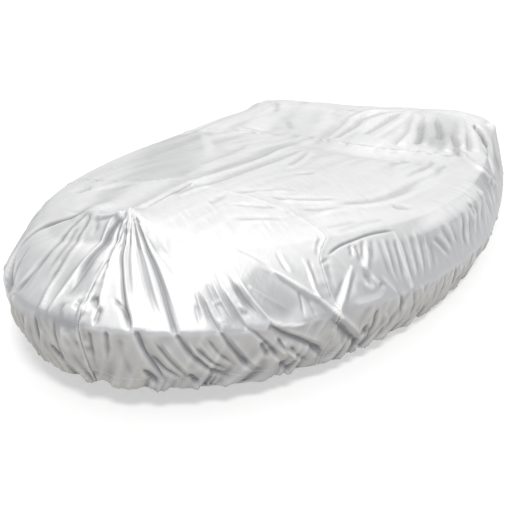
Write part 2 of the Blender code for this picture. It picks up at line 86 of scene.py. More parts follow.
# ---------------------------------------------------------------- small tools
def smoothstep(low: float, high: float, value: np.ndarray) -> np.ndarray:
    """Eased step.

    Args:
        low: value at which the step starts.
        high: value at which it is complete.
        value: where it is read.

    Returns:
        0 below low, 1 above high and a smooth rise between.
    """
    u = np.clip((value - low) / (high - low), 0.0, 1.0)
    return u * u * (3.0 - 2.0 * u)


def faded_ends(share: np.ndarray, start: float, end: float) -> np.ndarray:
    """1 along a line, with a smooth fade to 0 over a share of it at its start and end."""
    return smoothstep(0.0, start, share) * (1.0 - smoothstep(1.0 - end, 1.0, share))


def eased(u: np.ndarray, a: np.ndarray, slope_a: np.ndarray, b: np.ndarray,
          slope_b: np.ndarray) -> np.ndarray:
    """Smooth cubic from one value to another.

    Args:
        u: place from 0 to 1.
        a: value at 0.
        slope_a: slope at 0.
        b: value at 1.
        slope_b: slope at 1.

    Returns:
        The value at each place.
    """
    return ((1 + 2 * u) * (1 - u) ** 2 * a + u * (1 - u) ** 2 * slope_a
            + u * u * (3 - 2 * u) * b - u * u * (1 - u) * slope_b)


def in_scene(name: str, data: bpy.types.ID) -> bpy.types.Object:
    """Puts an object in the scene.

    Args:
        name: name of the object.
        data: its mesh, light or camera.

    Returns:
        The object.
    """
    made = bpy.data.objects.new(name, data)
    bpy.context.scene.collection.objects.link(made)
    return made


def towards(azimuth: float, height: float) -> Vector:
    """Direction from the cover to a place in the sky.

    Args:
        azimuth: degrees to port of straight ahead of the bow.
        height: degrees above the horizon.

    Returns:
        The unit direction.
    """
    turn, up = math.radians(azimuth), math.radians(height)
    return Vector((math.sin(turn) * math.cos(up), -math.cos(turn) * math.cos(up), math.sin(up)))


def smooth_table(knots: np.ndarray, values: np.ndarray, at: np.ndarray) -> np.ndarray:
    """Monotone cubic through a short table, held flat past both ends.

    Args:
        knots: rising places of the rows.
        values: value of each row.
        at: places to read.

    Returns:
        The value at each place.
    """
    at = np.clip(np.asarray(at, dtype=float), knots[0], knots[-1])
    steps = np.diff(knots)
    slopes = np.diff(values) / steps
    tangent = np.zeros(len(knots))
    for i in range(1, len(knots) - 1):
        if slopes[i - 1] * slopes[i] > 0.0:
            tangent[i] = 2.0 / (1.0 / slopes[i - 1] + 1.0 / slopes[i])
    tangent[0], tangent[-1] = slopes[0], slopes[-1]
    i = np.clip(np.searchsorted(knots, at, side="right") - 1, 0, len(steps) - 1)
    u = (at - knots[i]) / steps[i]
    return eased(u, values[i], steps[i] * tangent[i], values[i + 1], steps[i] * tangent[i + 1])


class Unevenness:
    """Smooth uneven values on a lattice of fixed random numbers."""

    def __init__(self, seed: int, size: int = 128) -> None:
        """Fills the lattice.

        Args:
            seed: fixed seed of the numbers.
            size: numbers along each side of the lattice, after which it repeats.
        """
        self.size = size
        self.lattice = np.random.default_rng(seed).uniform(-1.0, 1.0, (size, size))

    def at(self, u: np.ndarray, v: np.ndarray) -> np.ndarray:
        """Value at any place.

        Args:
            u: first place, one lattice step to the unit.
            v: second place.

        Returns:
            Values from -1 to 1.
        """
        u, v = np.broadcast_arrays(np.asarray(u, float), np.asarray(v, float))
        iu, iv = np.floor(u).astype(int), np.floor(v).astype(int)
        fu, fv = u - iu, v - iv
        fu, fv = fu * fu * (3.0 - 2.0 * fu), fv * fv * (3.0 - 2.0 * fv)
        n = self.size
        a, b = self.lattice[iu % n, iv % n], self.lattice[(iu + 1) % n, iv % n]
        c, d = self.lattice[iu % n, (iv + 1) % n], self.lattice[(iu + 1) % n, (iv + 1) % n]
        return (a + (b - a) * fu) * (1.0 - fv) + (c + (d - c) * fu) * fv


@dataclass
class LineReach:
    """Where points lie from a line."""

    number: np.ndarray    # numbers of the points that are near enough
    distance: np.ndarray  # distance of each from the line
    share: np.ndarray     # place along the line, 0 to 1 by its points
    arc: np.ndarray       # place along the line in metres
    side: np.ndarray      # +1 or -1, on which side of the line


def reach_of_line(points: np.ndarray, normals: np.ndarray, line: np.ndarray,
                  reach: float) -> LineReach:
    """Distance of points from a line, for those inside its reach.

    Args:
        points: places on the cloth.
        normals: outward direction at each.
        line: points of the line.
        reach: how far from the line a point may be.

    Returns:
        The near points with their distance, place along the line and side.
    """
    inside = np.all((points > line.min(axis=0) - reach)
                    & (points < line.max(axis=0) + reach), axis=1)
    near = np.nonzero(inside)[0]
    starts, steps = line[:-1], np.diff(line, axis=0)
    lengths = np.linalg.norm(steps, axis=1)
    run = np.concatenate([[0.0], np.cumsum(lengths)])
    parts: list[tuple[np.ndarray, ...]] = []
    for chunk in np.array_split(near, max(1, len(near) * len(steps) // 2_000_000)):
        offset = points[chunk][:, None, :] - starts[None, :, :]
        share = np.sum(offset * steps, axis=2) / np.maximum(lengths ** 2, 1e-12)
        share = np.clip(share, 0.0, 1.0)
        away = offset - share[..., None] * steps
        distance = np.linalg.norm(away, axis=2)
        pick = np.argmin(distance, axis=1)
        rows = np.arange(len(chunk))
        best = share[rows, pick]
        across = np.cross(steps[pick], away[rows, pick])
        parts.append((chunk, distance[rows, pick], (pick + best) / len(steps),
                      run[pick] + best * lengths[pick],
                      np.sign(np.sum(across * normals[chunk], axis=1))))
    return LineReach(*(np.concatenate(column) for column in zip(*parts)))


# ---------------------------------------------------------------- shape of the cover
@dataclass(frozen=True)
class Section:
    """One row of the shape along the cover, in metres."""

    y: float
    gunwale_z: float
    shoulder_inset: float
    shoulder_z: float
    ridge_z: float
    crown_power: float
    hem_z: float
    starboard_lift: float


@dataclass(frozen=True)
class Mound:
    """A place where the top stands up in a peak or sags."""

    x: float
    y: float
    rise: float
    radius_x: float
    radius_y: float


@dataclass
class CoverForm:
    """Smooth form that the cloth takes.

    It is that of the solids, but for softer edges and a hem up to 12 mm higher at the bow.
    """

    length: float = 2.86
    half_beam: float = 0.845
    widest_y: float = 1.63
    bow_power: float = 2.0
    stern_breadth: float = 0.92
    corner_radius: float = 0.11
    hem_inset: float = 0.058
    hem_turn: float = 0.028
    hem_scallop: float = 0.006
    wall_bulge: float = 0.022
    middle_y: float = 1.43
    crown_underside: float = 0.407
    round_below: float = 0.30
    round_above: float = 0.10
    round_gunwale: float = 0.035
    shoulder_band: float = 0.30
    gunwale_band: float = 0.06
    bow_rounding: float = 0.20                       # share of it that the bow keeps
    bow_girths: tuple[float, float] = (0.80, 1.35)   # where it grows to the whole
    peak_y: float = 0.285
    stern_pole_y: float = 2.50
    seam_a_y: float = 0.63
    seam_b_y: float = 1.95
    rib_number: tuple[float, ...] = (0.0, 0.45, 1.0, 2.0, 2.6, 3.0)
    rib_port: tuple[float, ...] = (0.0, 0.42, 0.90, 2.32, 3.00, 3.9613)
    rib_starboard: tuple[float, ...] = (0.0, 0.46, 1.05, 2.36, 3.02, 3.9613)
    drift_levels: tuple[float, ...] = (-1.0, 1.0, 1.6, 2.1, 2.4, 3.0)
    drift_port: tuple[float, ...] = (-0.19, -0.19, -0.15, -0.04, 0.0, 0.0)
    drift_starboard: tuple[float, ...] = (0.14, 0.14, 0.15, 0.14, 0.02, 0.0)
    drift_ribs: tuple[float, float, float] = (0.3, 1.0, 1.8)
    sections: tuple[Section, ...] = (
        Section(0.00, 0.270, 0.210, 0.415, 0.474, 2.0, 0.080, 0.000),
        Section(0.30, 0.236, 0.170, 0.405, 0.473, 2.0, 0.064, -0.025),
        Section(0.62, 0.206, 0.135, 0.390, 0.470, 2.0, 0.044, -0.020),
        Section(1.43, 0.145, 0.105, 0.345, 0.410, 2.0, 0.012, 0.000),
        Section(1.95, 0.117, 0.100, 0.322, 0.360, 2.0, 0.006, 0.020),
        Section(2.40, 0.104, 0.100, 0.318, 0.392, 3.0, 0.012, 0.030),
        Section(2.66, 0.099, 0.100, 0.335, 0.415, 5.0, 0.016, 0.010),
        Section(2.86, 0.096, 0.095, 0.385, 0.415, 5.0, 0.019, 0.000),
    )
    mounds: tuple[Mound, ...] = (
        Mound(0.000, 0.285, 0.010, 0.05, 0.05),
        Mound(-0.185, 0.360, 0.020, 0.05, 0.06),
        Mound(0.300, 1.800, -0.042, 0.24, 0.18),
        Mound(-0.250, 1.300, -0.010, 0.30, 0.40),
    )

    def __post_init__(self) -> None:
        """Works out the plan line of the gunwale with its girth."""
        turn = np.linspace(0.0, math.pi, 1601)
        y = self.length * 0.5 * (1.0 - np.cos(turn))
        x = self.half_breadth(y)
        across = np.linspace(x[-1], 0.0, 201)[1:]
        self.plan_x = np.concatenate([x, across])
        self.plan_y = np.concatenate([y, np.full(across.shape, self.length)])
        steps = np.hypot(np.diff(self.plan_x), np.diff(self.plan_y))
        self.plan_girth = np.concatenate([[0.0], np.cumsum(steps)])
        self.girth_end = float(self.plan_girth[-1])
        self.ridge_y = (self.peak_y, self.peak_y, self.seam_a_y, self.seam_b_y,
                        self.stern_pole_y, self.stern_pole_y)
        self.rows = {name: np.array([getattr(row, name) for row in self.sections])
                     for name in Section.__dataclass_fields__}

    def section(self, name: str, y: np.ndarray) -> np.ndarray:
        """A section value at any place along the cover.

        Args:
            name: column of the sections.
            y: distance from the bow.

        Returns:
            The smooth value at each place.
        """
        return smooth_table(self.rows["y"], self.rows[name], y)

    def half_breadth(self, y: np.ndarray) -> np.ndarray:
        """Half of the breadth at the gunwale.

        Args:
            y: distance from the bow.

        Returns:
            Half breadth at each place.
        """
        u = np.clip(y / self.widest_y, 0.0, 1.0)
        bow = (1.0 - (1.0 - u) ** self.bow_power) ** (1.0 / self.bow_power)
        aft = np.clip((y - self.widest_y) / (self.length - self.widest_y), 0.0, 1.0)
        stern = 1.0 - (1.0 - self.stern_breadth) * aft ** 2
        corner = np.clip((y - self.length + self.corner_radius) / self.corner_radius, 0.0, 1.0)
        rounding = self.corner_radius * (1.0 - np.sqrt(1.0 - corner ** 2))
        return self.half_beam * np.where(y < self.widest_y, bow, stern) - rounding

    def rib_run(self, girth: np.ndarray) -> np.ndarray:
        """Rib number of a signed girth, 0 at the stem and 3 at the middle of the transom."""
        run = np.minimum(np.abs(girth), self.girth_end)
        return np.where(girth >= 0.0, np.interp(run, self.rib_port, self.rib_number),
                        np.interp(run, self.rib_starboard, self.rib_number))

    def rib_girth(self, rib: np.ndarray, side: int) -> np.ndarray:
        """Signed girth of a rib.

        Args:
            rib: rib number, 0 to 3.
            side: +1 port or -1 starboard.

        Returns:
            The girth of each rib, with the sign of its side.
        """
        table = self.rib_port if side > 0 else self.rib_starboard
        return side * np.interp(rib, self.rib_number, table)

    def across(self, girth: np.ndarray) -> np.ndarray:
        """Signed girth on the other side that meets this one at the ridge."""
        rib = self.rib_run(girth)
        return np.where(girth >= 0.0, self.rib_girth(rib, -1), self.rib_girth(rib, 1))

    def drift(self, rib: np.ndarray, level: np.ndarray, side: int) -> np.ndarray:
        """Girth that the forward cross seam drifts from its rib on the way down.

        Args:
            rib: rib number.
            level: level up the cloth.
            side: +1 port or -1 starboard.

        Returns:
            Signed girth to add.
        """
        table = self.drift_port if side > 0 else self.drift_starboard
        whole = smooth_table(np.array(self.drift_levels), np.array(table), level)
        start, full, end = self.drift_ribs
        return side * whole * smoothstep(start, full, rib) * (1.0 - smoothstep(full, end, rib))

    def scallop(self, girth: np.ndarray) -> np.ndarray:
        """Uneven waves of the gathered hem, about -1 to 1, at a signed girth."""
        return (0.50 * np.sin(girth / 0.021 + 1.3 * np.sin(girth / 0.16))
                + 0.35 * np.sin(girth / 0.047 + 0.7)
                + 0.30 * np.sin(girth / 0.013 + girth * 3.0))

    def point(self, girth: np.ndarray, level: np.ndarray) -> np.ndarray:
        """Place on the form with its shoulder and gunwale rounded as cloth rounds them.

        Args:
            girth: signed girth round the gunwale.
            level: level up the cloth, -1 to 3.

        Returns:
            One x, y, z for each.
        """
        shoulder = np.exp(-((level - SHOULDER) / self.shoulder_band) ** 2) * (
            self.bow_rounding
            + (1.0 - self.bow_rounding) * smoothstep(*self.bow_girths, np.abs(girth)))
        gunwale = np.exp(-((level - GUNWALE) / self.gunwale_band) ** 2)
        below = level - self.round_below * shoulder - self.round_gunwale * gunwale
        above = level + self.round_above * shoulder + self.round_gunwale * gunwale
        return 0.25 * (self.sharp_point(girth, below) + 2.0 * self.sharp_point(girth, level)
                       + self.sharp_point(girth, above))

    def sharp_point(self, girth: np.ndarray, level: np.ndarray) -> np.ndarray:
        """Place on the form as the solids have it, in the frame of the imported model.

        Args:
            girth: signed girth round the gunwale.
            level: level up the cloth, -1 to 3.

        Returns:
            One x, y, z for each.
        """
        girth, level = np.broadcast_arrays(np.asarray(girth, float), np.asarray(level, float))
        side = np.where(girth < 0.0, -1.0, 1.0)
        run = np.minimum(np.abs(girth), self.girth_end)
        gx = np.interp(run, self.plan_girth, self.plan_x)
        gy = np.interp(run, self.plan_girth, self.plan_y)
        cy = np.interp(self.rib_run(girth), self.rib_number, self.ridge_y)
        reach = np.hypot(gx, gy - cy)
        ex, ey = gx / reach, (gy - cy) / reach

        inset = np.minimum(self.section("shoulder_inset", gy), 0.75 * reach)
        gunwale_z = self.section("gunwale_z", gy)
        lift = np.where(side < 0.0, self.section("starboard_lift", gy), 0.0)
        shoulder_z = self.section("shoulder_z", gy) + lift
        ridge_z, power = self.section("ridge_z", cy), self.section("crown_power", gy)
        hem_z = self.section("hem_z", gy) + self.hem_scallop * self.scallop(side * run)

        q = np.clip(RIDGE - level, 0.0, 1.0)
        w = np.clip(level - GUNWALE, 0.0, 1.0)
        h = np.clip(level, 0.0, 1.0)
        turn = np.clip(-level, 0.0, 1.0)
        parts = [level >= SHOULDER, level >= GUNWALE, level >= HEM]
        d = np.select(parts, [(reach - inset) * q, reach - inset * w,
                              reach - self.hem_inset * (1.0 - h) ** 1.5],
                      reach - self.hem_inset - self.hem_turn * turn)
        z = np.select(parts, [
            shoulder_z + (ridge_z - shoulder_z) * (1.0 - q ** power),
            gunwale_z + (shoulder_z - gunwale_z) * w + self.wall_bulge * np.sin(math.pi * w),
            hem_z + (gunwale_z - hem_z) * h],
            hem_z - 0.15 * self.hem_turn * np.sin(math.pi * turn) + 0.25 * self.hem_turn * turn)
        x, y = side * ex * d, cy + ey * d
        for m in self.mounds:
            away = ((x - m.x) / m.radius_x) ** 2 + ((y - m.y) / m.radius_y) ** 2
            z = z + m.rise * np.exp(-away) * smoothstep(1.2, 2.0, level)
        return np.stack([x, y - self.middle_y, z - self.crown_underside], axis=-1)

    def normal(self, girth: np.ndarray, level: np.ndarray) -> np.ndarray:
        """Outward unit direction of the smooth form.

        Args:
            girth: signed girth.
            level: level up the cloth.

        Returns:
            One direction for each, the same from both sides of a seam.
        """
        step_g, step_l = 0.006, 0.03
        along = self.point(girth + step_g, level) - self.point(girth - step_g, level)
        over = level + step_l > RIDGE
        up = (self.point(np.where(over, self.across(girth), girth),
                         np.where(over, 2.0 * RIDGE - level - step_l, level + step_l))
              - self.point(girth, level - step_l))
        normal = np.cross(along, up)
        length = np.linalg.norm(normal, axis=-1, keepdims=True)
        return np.where(length < 1e-5, np.array([0.0, 0.0, 1.0]),
                        normal / np.maximum(length, 1e-9))


# ---------------------------------------------------------------- folds
class Cut(Enum):
    """How a fold looks when it is cut across."""

    SOFT = "rounded"
    CREASE = "sharp crest"


CREST_ROUNDING = 0.0032  # metres, the tightest that the cloth bends
STEEPEST = 0.45          # width of the steep part of a fold for its height
FOLD_REACH = 2.6         # widths from its line to the end of a fold
PAINTED_SHADE_REACH = 1.8         # the same for a place of painted shade


def path_of(row: tuple[float, ...]) -> Path:
    """Path from the girths and levels of a row, which come by turns."""
    return tuple(zip(row[0::2], row[1::2]))


def line_on_form(path: Path, form: CoverForm, steps: int = 7) -> np.ndarray:
    """Points of a smooth line on the smooth form.

    Args:
        path: places that the line passes.
        form: shape of the cover.
        steps: straight pieces between two places of the path.

    Returns:
        One x, y, z for each point.
    """
    knots = np.array(path)
    before = np.concatenate([[2 * knots[0] - knots[1]], knots[:-1]])
    after = np.concatenate([knots[1:], [2 * knots[-1] - knots[-2]]])
    slope = 0.5 * (after - before)
    u = np.linspace(0.0, 1.0, steps + 1)[:, None]
    parts = [eased(u, knots[i], slope[i], knots[i + 1], slope[i + 1])[min(i, 1):]
             for i in range(len(knots) - 1)]
    girth, level = np.concatenate(parts).T
    over = level > RIDGE
    return form.point(np.where(over, form.across(girth), girth),
                      np.where(over, 2.0 * RIDGE - level, np.maximum(level, END)))


@dataclass(frozen=True)
class Fold:
    """One ridge or trough of the cloth along a path of girth and level places."""

    path: Path
    width_a: float
    width_b: float
    height: float
    lean: float = 0.0
    cut: Cut = Cut.CREASE
    fade_a: float = 0.25
    fade_b: float = 0.40

    @classmethod
    def of_row(cls, row: tuple) -> Fold:
        """One fold from a row of a table.

        Args:
            row: path, both widths and the height in millimetres, and the columns after them.

        Returns:
            The fold.
        """
        path, width_a, width_b, height, *others = row
        return cls(path_of(path), width_a / 1000, width_b / 1000, height / 1000, *others)

    def add_to(self, lift: np.ndarray, points: np.ndarray, normals: np.ndarray,
               form: CoverForm) -> None:
        """Adds the height of the fold to each point near it.

        Args:
            lift: heights so far, changed in place.
            points: places on the smooth form.
            normals: outward directions there.
            form: shape of the cover.
        """
        widest = max(self.width_a, self.width_b)
        reach = FOLD_REACH * widest * (1.0 + abs(self.lean))
        near = reach_of_line(points, normals, line_on_form(self.path, form), reach)
        if len(near.number) == 0:
            return
        fade = faded_ends(near.share, self.fade_a, self.fade_b)
        width = (self.width_a + (self.width_b - self.width_a) * near.share) * (0.2 + 0.8 * fade)
        high = self.height * fade * (0.15 + 0.85 * width / widest)
        width = width * (1.0 + self.lean * near.side)
        across = near.distance / width
        if self.cut is Cut.CREASE:
            steep = np.maximum(0.55 * width, STEEPEST * np.abs(high))
            crest = (np.hypot(near.distance, CREST_ROUNDING) - CREST_ROUNDING) / steep
            shape = 0.72 * np.exp(-crest) + 0.28 * np.exp(-(across / 1.4) ** 2)
        else:
            shape = np.exp(-across ** 2)
        lift[near.number] += high * shape * (1.0 - smoothstep(0.7, 1.0, near.distance / reach))


@dataclass(frozen=True)
class PaintedShadePlace:
    """A place along a path with painted shade, and with a painted highlight where its amount is
    below 0.
    """

    path: Path
    width: float
    amount: float
    fade: float = 0.15

    @classmethod
    def of_row(cls, row: tuple) -> PaintedShadePlace:
        """One place of painted shade from a row with its width in millimetres."""
        path, width, *others = row
        return cls(path_of(path), width / 1000, *others)

    def add_to(self, shade_paint: np.ndarray, points: np.ndarray, normals: np.ndarray,
               form: CoverForm) -> None:
        """Changes the dullness of each point near the path.

        Args:
            shade_paint: painted shade so far, from -1 for painted highlight to 1, changed in
                place.
            points: places on the smooth form.
            normals: outward directions there.
            form: shape of the cover.
        """
        near = reach_of_line(points, normals, line_on_form(self.path, form),
                             PAINTED_SHADE_REACH * self.width)
        if len(near.number) == 0:
            return
        ends = faded_ends(near.share, self.fade, self.fade)
        here = self.amount * ends * np.exp(-(near.distance / self.width) ** 4)
        shade_paint[near.number] += here * (1.0 - np.abs(shade_paint[near.number]))


S, C = Cut.SOFT, Cut.CREASE

# Columns of the fold tables: path (girth, level and so on by turns), width at its start,
# width at its end and height, all three in millimetres, then lean, cut, and the shares of
# the path over which it fades in at the start and out at the end.

# Paths that a fold and a place of painted shade share.
FAR_VALLEY = (-0.57, 2.42, -0.64, 2.02, -0.628, 1.57, -0.59, 1.28, -0.46, 1.1, -0.33, 1.0)
FAR_CREASE = (-0.556, 2.44, -0.48, 2.21, -0.38, 1.78, -0.315, 1.38, -0.302, 1.0)
MIDDLE_VALLEY = (-0.56, 2.48, -0.43, 2.38, -0.34, 2.06, -0.24, 1.62, -0.18, 1.3)
STEM_VALLEY = (-0.16, 2.66, -0.15, 2.27, -0.115, 1.86, -0.072, 1.43, -0.075, 1.16)
NEAR_CREASE = (0.02, 2.55, 0.06, 1.92, 0.096, 1.62, 0.11, 1.42, 0.125, 1.2, 0.142, 1.02)
AFT_CREASE = (0.21, 2.82, 0.24, 2.1, 0.245, 1.6, 0.247, 1.2, 0.249, 0.99)
SPIKE = (0.848, 1.48, 0.806, 1.34, 0.772, 1.22, 0.704, 1.01)
FACET_RIM = (0.49, 1.6, 0.486, 1.4, 0.492, 1.22, 0.51, 1.05, 0.56, 0.99, 0.61, 0.98)
WALL_CREST = (0.708, 1.76, 0.692, 1.48, 0.676, 1.29, 0.672, 1.18)
SEAM_CREST = (0.968, 1.84, 0.932, 1.62, 0.906, 1.48, 0.88, 1.38)
SLIT = (0.78, 1.66, 0.842, 1.77, 0.895, 1.82, 0.98, 1.86, 1.04, 1.85, 1.125, 1.8)

# Fans of the two bow peaks, from the far side to the near side.
BOW_FAN = (
    ((0.0, 2.98, -0.3, 2.76, -0.57, 2.46), 16, 16, 12, 0.3, C, 0.01, 0.02),
    ((-0.58, 2.44, -0.65, 2.3, -0.71, 2.2), 4, 8, -4.7),
    (FAR_VALLEY, 10, 15, -20.3, 0.3, C, 0.07, 0.06),
    ((-0.56, 2.38, -0.585, 1.98, -0.56, 1.5, -0.46, 1.2), 5, 14, 5.5, 0.5),
    ((-0.54, 1.66, -0.43, 1.24, -0.35, 1.03), 4, 7, -5.5),
    (FAR_CREASE, 3, 9, -13.3, -0.3, C, 0.07, 0.06),
    ((-0.53, 2.42, -0.44, 2.16, -0.35, 1.76, -0.28, 1.38, -0.25, 1.04), 4, 16, 7, 0.5, C, 0.08),
    ((-0.45, 2.3, -0.307, 1.73, -0.215, 1.3), 4, 9, -5.5, 0.0, C, 0.1),
    ((-0.4, 2.26, -0.275, 1.72, -0.19, 1.28), 4, 7, 4.7, 0.0, C, 0.1),
    ((-0.55, 2.47, -0.44, 2.43, -0.317, 2.02, -0.185, 1.49, -0.155, 1.21, -0.132, 1.0), 3, 10,
     10.9, 0.5, C, 0.07, 0.05),
    (MIDDLE_VALLEY, 4, 8, -11.7, -0.3, C, 0.07, 0.2),
    ((-0.5, 2.6, -0.34, 2.39, -0.26, 2.08), 4, 8, -4.7),
    ((-0.2, 2.72, -0.34, 2.58, -0.4, 2.44), 6, 8, -4, 0.3),
    ((-0.24, 2.78, -0.277, 2.61, -0.191, 2.21, -0.122, 1.71, -0.1, 1.32, -0.104, 1.01), 3, 10,
     11.7, 0.4, C, 0.07, 0.05),
    (STEM_VALLEY, 3, 14, -16.4, 0.5, C, 0.08),
    ((-0.12, 2.8, -0.11, 2.45, -0.056, 2.05, 0.012, 1.62, 0.018, 1.34), 3, 9, -9.4, 0.2, C, 0.08),
    ((-0.06, 2.6, -0.01, 1.98, 0.035, 1.5, 0.043, 1.24, 0.043, 1.02), 4, 14, 7.5, -0.2, C, 0.05,
     0.08),
    (NEAR_CREASE, 3, 8, -9, 0.0, C, 0.08, 0.05),
    ((0.05, 2.66, 0.079, 1.98, 0.112, 1.55, 0.132, 1.28, 0.15, 1.0), 3, 7, 6, 0.3, C, 0.07, 0.05),
    ((0.1, 2.6, 0.112, 1.9, 0.125, 1.62, 0.138, 1.34, 0.144, 1.14), 3, 6, -4, 0.0, C, 0.07),
    ((0.12, 2.74, 0.134, 2.02, 0.146, 1.62, 0.152, 1.28), 3, 6, 4),
    ((0.13, 2.88, 0.16, 2.34, 0.18, 1.84, 0.19, 1.46, 0.202, 1.2, 0.214, 1.05), 4, 8, -5, 0.4, C,
     0.07, 0.45),
    ((0.19, 2.6, 0.214, 1.9, 0.22, 1.4, 0.232, 1.06), 4, 13, 7, 0.4, C, 0.04),
    (AFT_CREASE, 3, 6, -8, 0.3, C, 0.07, 0.04),
    ((0.24, 2.6, 0.262, 1.96, 0.264, 1.5, 0.266, 1.02), 3, 9, 5.5, 0.5, C, 0.04),
    ((0.257, 2.44, 0.29, 1.83, 0.306, 1.5), 3, 6, -2.3),
)

# Crumpled pocket low on the stem.
BOW_POCKET = (
    ((-0.1, 1.12, -0.06, 1.19, -0.02, 1.24, 0.034, 1.36), 7, 7, 9, 0.5),
    ((-0.075, 1.08, -0.02, 1.14, 0.03, 1.13), 16, 15, 16, 0.0, S),
    ((-0.034, 1.2, -0.015, 1.15, -0.014, 1.06), 4, 4, -11),
    ((0.018, 1.3, 0.03, 1.22, 0.04, 1.14), 6, 6, -14),
    ((0.048, 1.22, 0.046, 1.1, 0.045, 1.0), 5, 6, -12),
    ((0.073, 1.3, 0.125, 1.18, 0.147, 1.02), 4, 6, -9),
    ((-0.1, 1.02, -0.03, 0.98, 0.03, 1.01), 6, 6, -8, 0.4),
    ((0.076, 1.03, 0.076, 0.79, 0.062, 0.4), 6, 10, -8, 0.0, S),
    ((0.03, 0.98, 0.026, 0.7, 0.018, 0.2), 6, 9, -7),
    ((-0.05, 0.94, -0.06, 0.66, -0.05, 0.3), 12, 16, 8, 0.3, C, 0.15),
)

# Slanted folds of the band under the near gunwale, in order from the stem.
BAND_FOLDS = (
    ((0.152, 1.02, 0.168, 0.76, 0.2, 0.43, 0.25, 0.02), 7, 15, -16.7, 0.5, C, 0.03),
    ((0.166, 0.92, 0.192, 0.55, 0.252, 0.12), 5, 9, 6.2, 0.3),
    ((0.176, 0.7, 0.224, 0.4, 0.296, 0.1), 5, 8, -8.7, 0.3),
    ((0.191, 0.93, 0.221, 0.66, 0.264, 0.36, 0.312, 0.16), 4, 8, -6.8, 0.3),
    ((0.21, 0.96, 0.244, 0.64, 0.295, 0.32, 0.34, 0.14), 6, 12, 6.2, 0.4),
    ((0.249, 1.0, 0.284, 0.68, 0.333, 0.42, 0.39, 0.2, 0.44, 0.08), 6, 12, -12.4, 0.5, C, 0.03),
    ((0.27, 0.96, 0.305, 0.66, 0.352, 0.4, 0.41, 0.18), 5, 10, 6.2, 0.3),
    ((0.286, 0.86, 0.333, 0.56, 0.42, 0.22), 4, 9, -8.7, 0.3),
    ((0.3, 0.9, 0.347, 0.57, 0.395, 0.36), 4, 8, 5, 0.3),
    ((0.322, 0.94, 0.366, 0.62, 0.44, 0.26), 4, 9, -7.4, 0.3),
    ((0.36, 1.0, 0.396, 0.7, 0.446, 0.39, 0.5, 0.16), 5, 12, -12.4, 0.5, C, 0.03),
    ((0.38, 0.97, 0.42, 0.68, 0.47, 0.4, 0.52, 0.2), 5, 10, 6.2, 0.3),
    ((0.432, 1.04, 0.485, 0.76, 0.53, 0.48, 0.58, 0.16), 5, 11, -10.5, 0.5, C, 0.03),
    ((0.452, 0.98, 0.505, 0.72, 0.555, 0.46, 0.6, 0.2), 5, 10, 5.6, 0.3),
    ((0.494, 1.03, 0.535, 0.85, 0.621, 0.58, 0.716, 0.22), 7, 10, -13.6, -0.4, C, 0.03, 0.15),
    ((0.52, 1.0, 0.57, 0.83, 0.65, 0.6, 0.74, 0.26), 6, 14, 6.2, 0.4),
    ((0.512, 0.86, 0.55, 0.58, 0.601, 0.4), 5, 9, -8.1, 0.2),
    ((0.525, 0.84, 0.571, 0.46, 0.65, 0.1), 5, 9, 7.4, 0.3),
    ((0.56, 0.62, 0.61, 0.34, 0.67, 0.1), 5, 10, -8.7, 0.3),
    ((0.64, 0.5, 0.68, 0.3, 0.72, 0.1), 6, 10, -7.4, 0.2),
    ((0.11, 0.94, 0.118, 0.5, 0.15, 0.06), 10, 14, -3.1, 0.0, S, 0.15),
    ((-0.135, 0.56, -0.11, 0.2), 6, 10, -12, 0.3),
    ((0.16, 0.42, 0.21, 0.06), 6, 10, -14, 0.3),
    ((0.29, 0.34, 0.335, 0.02), 6, 10, -12, 0.3),
    ((0.47, 0.78, 0.515, 0.42), 6, 10, -12, 0.3),
    ((0.55, 0.3, 0.61, 0.0), 6, 12, -14, 0.3),
    ((0.84, 0.62, 0.885, 0.26), 7, 12, -14, -0.3),
)

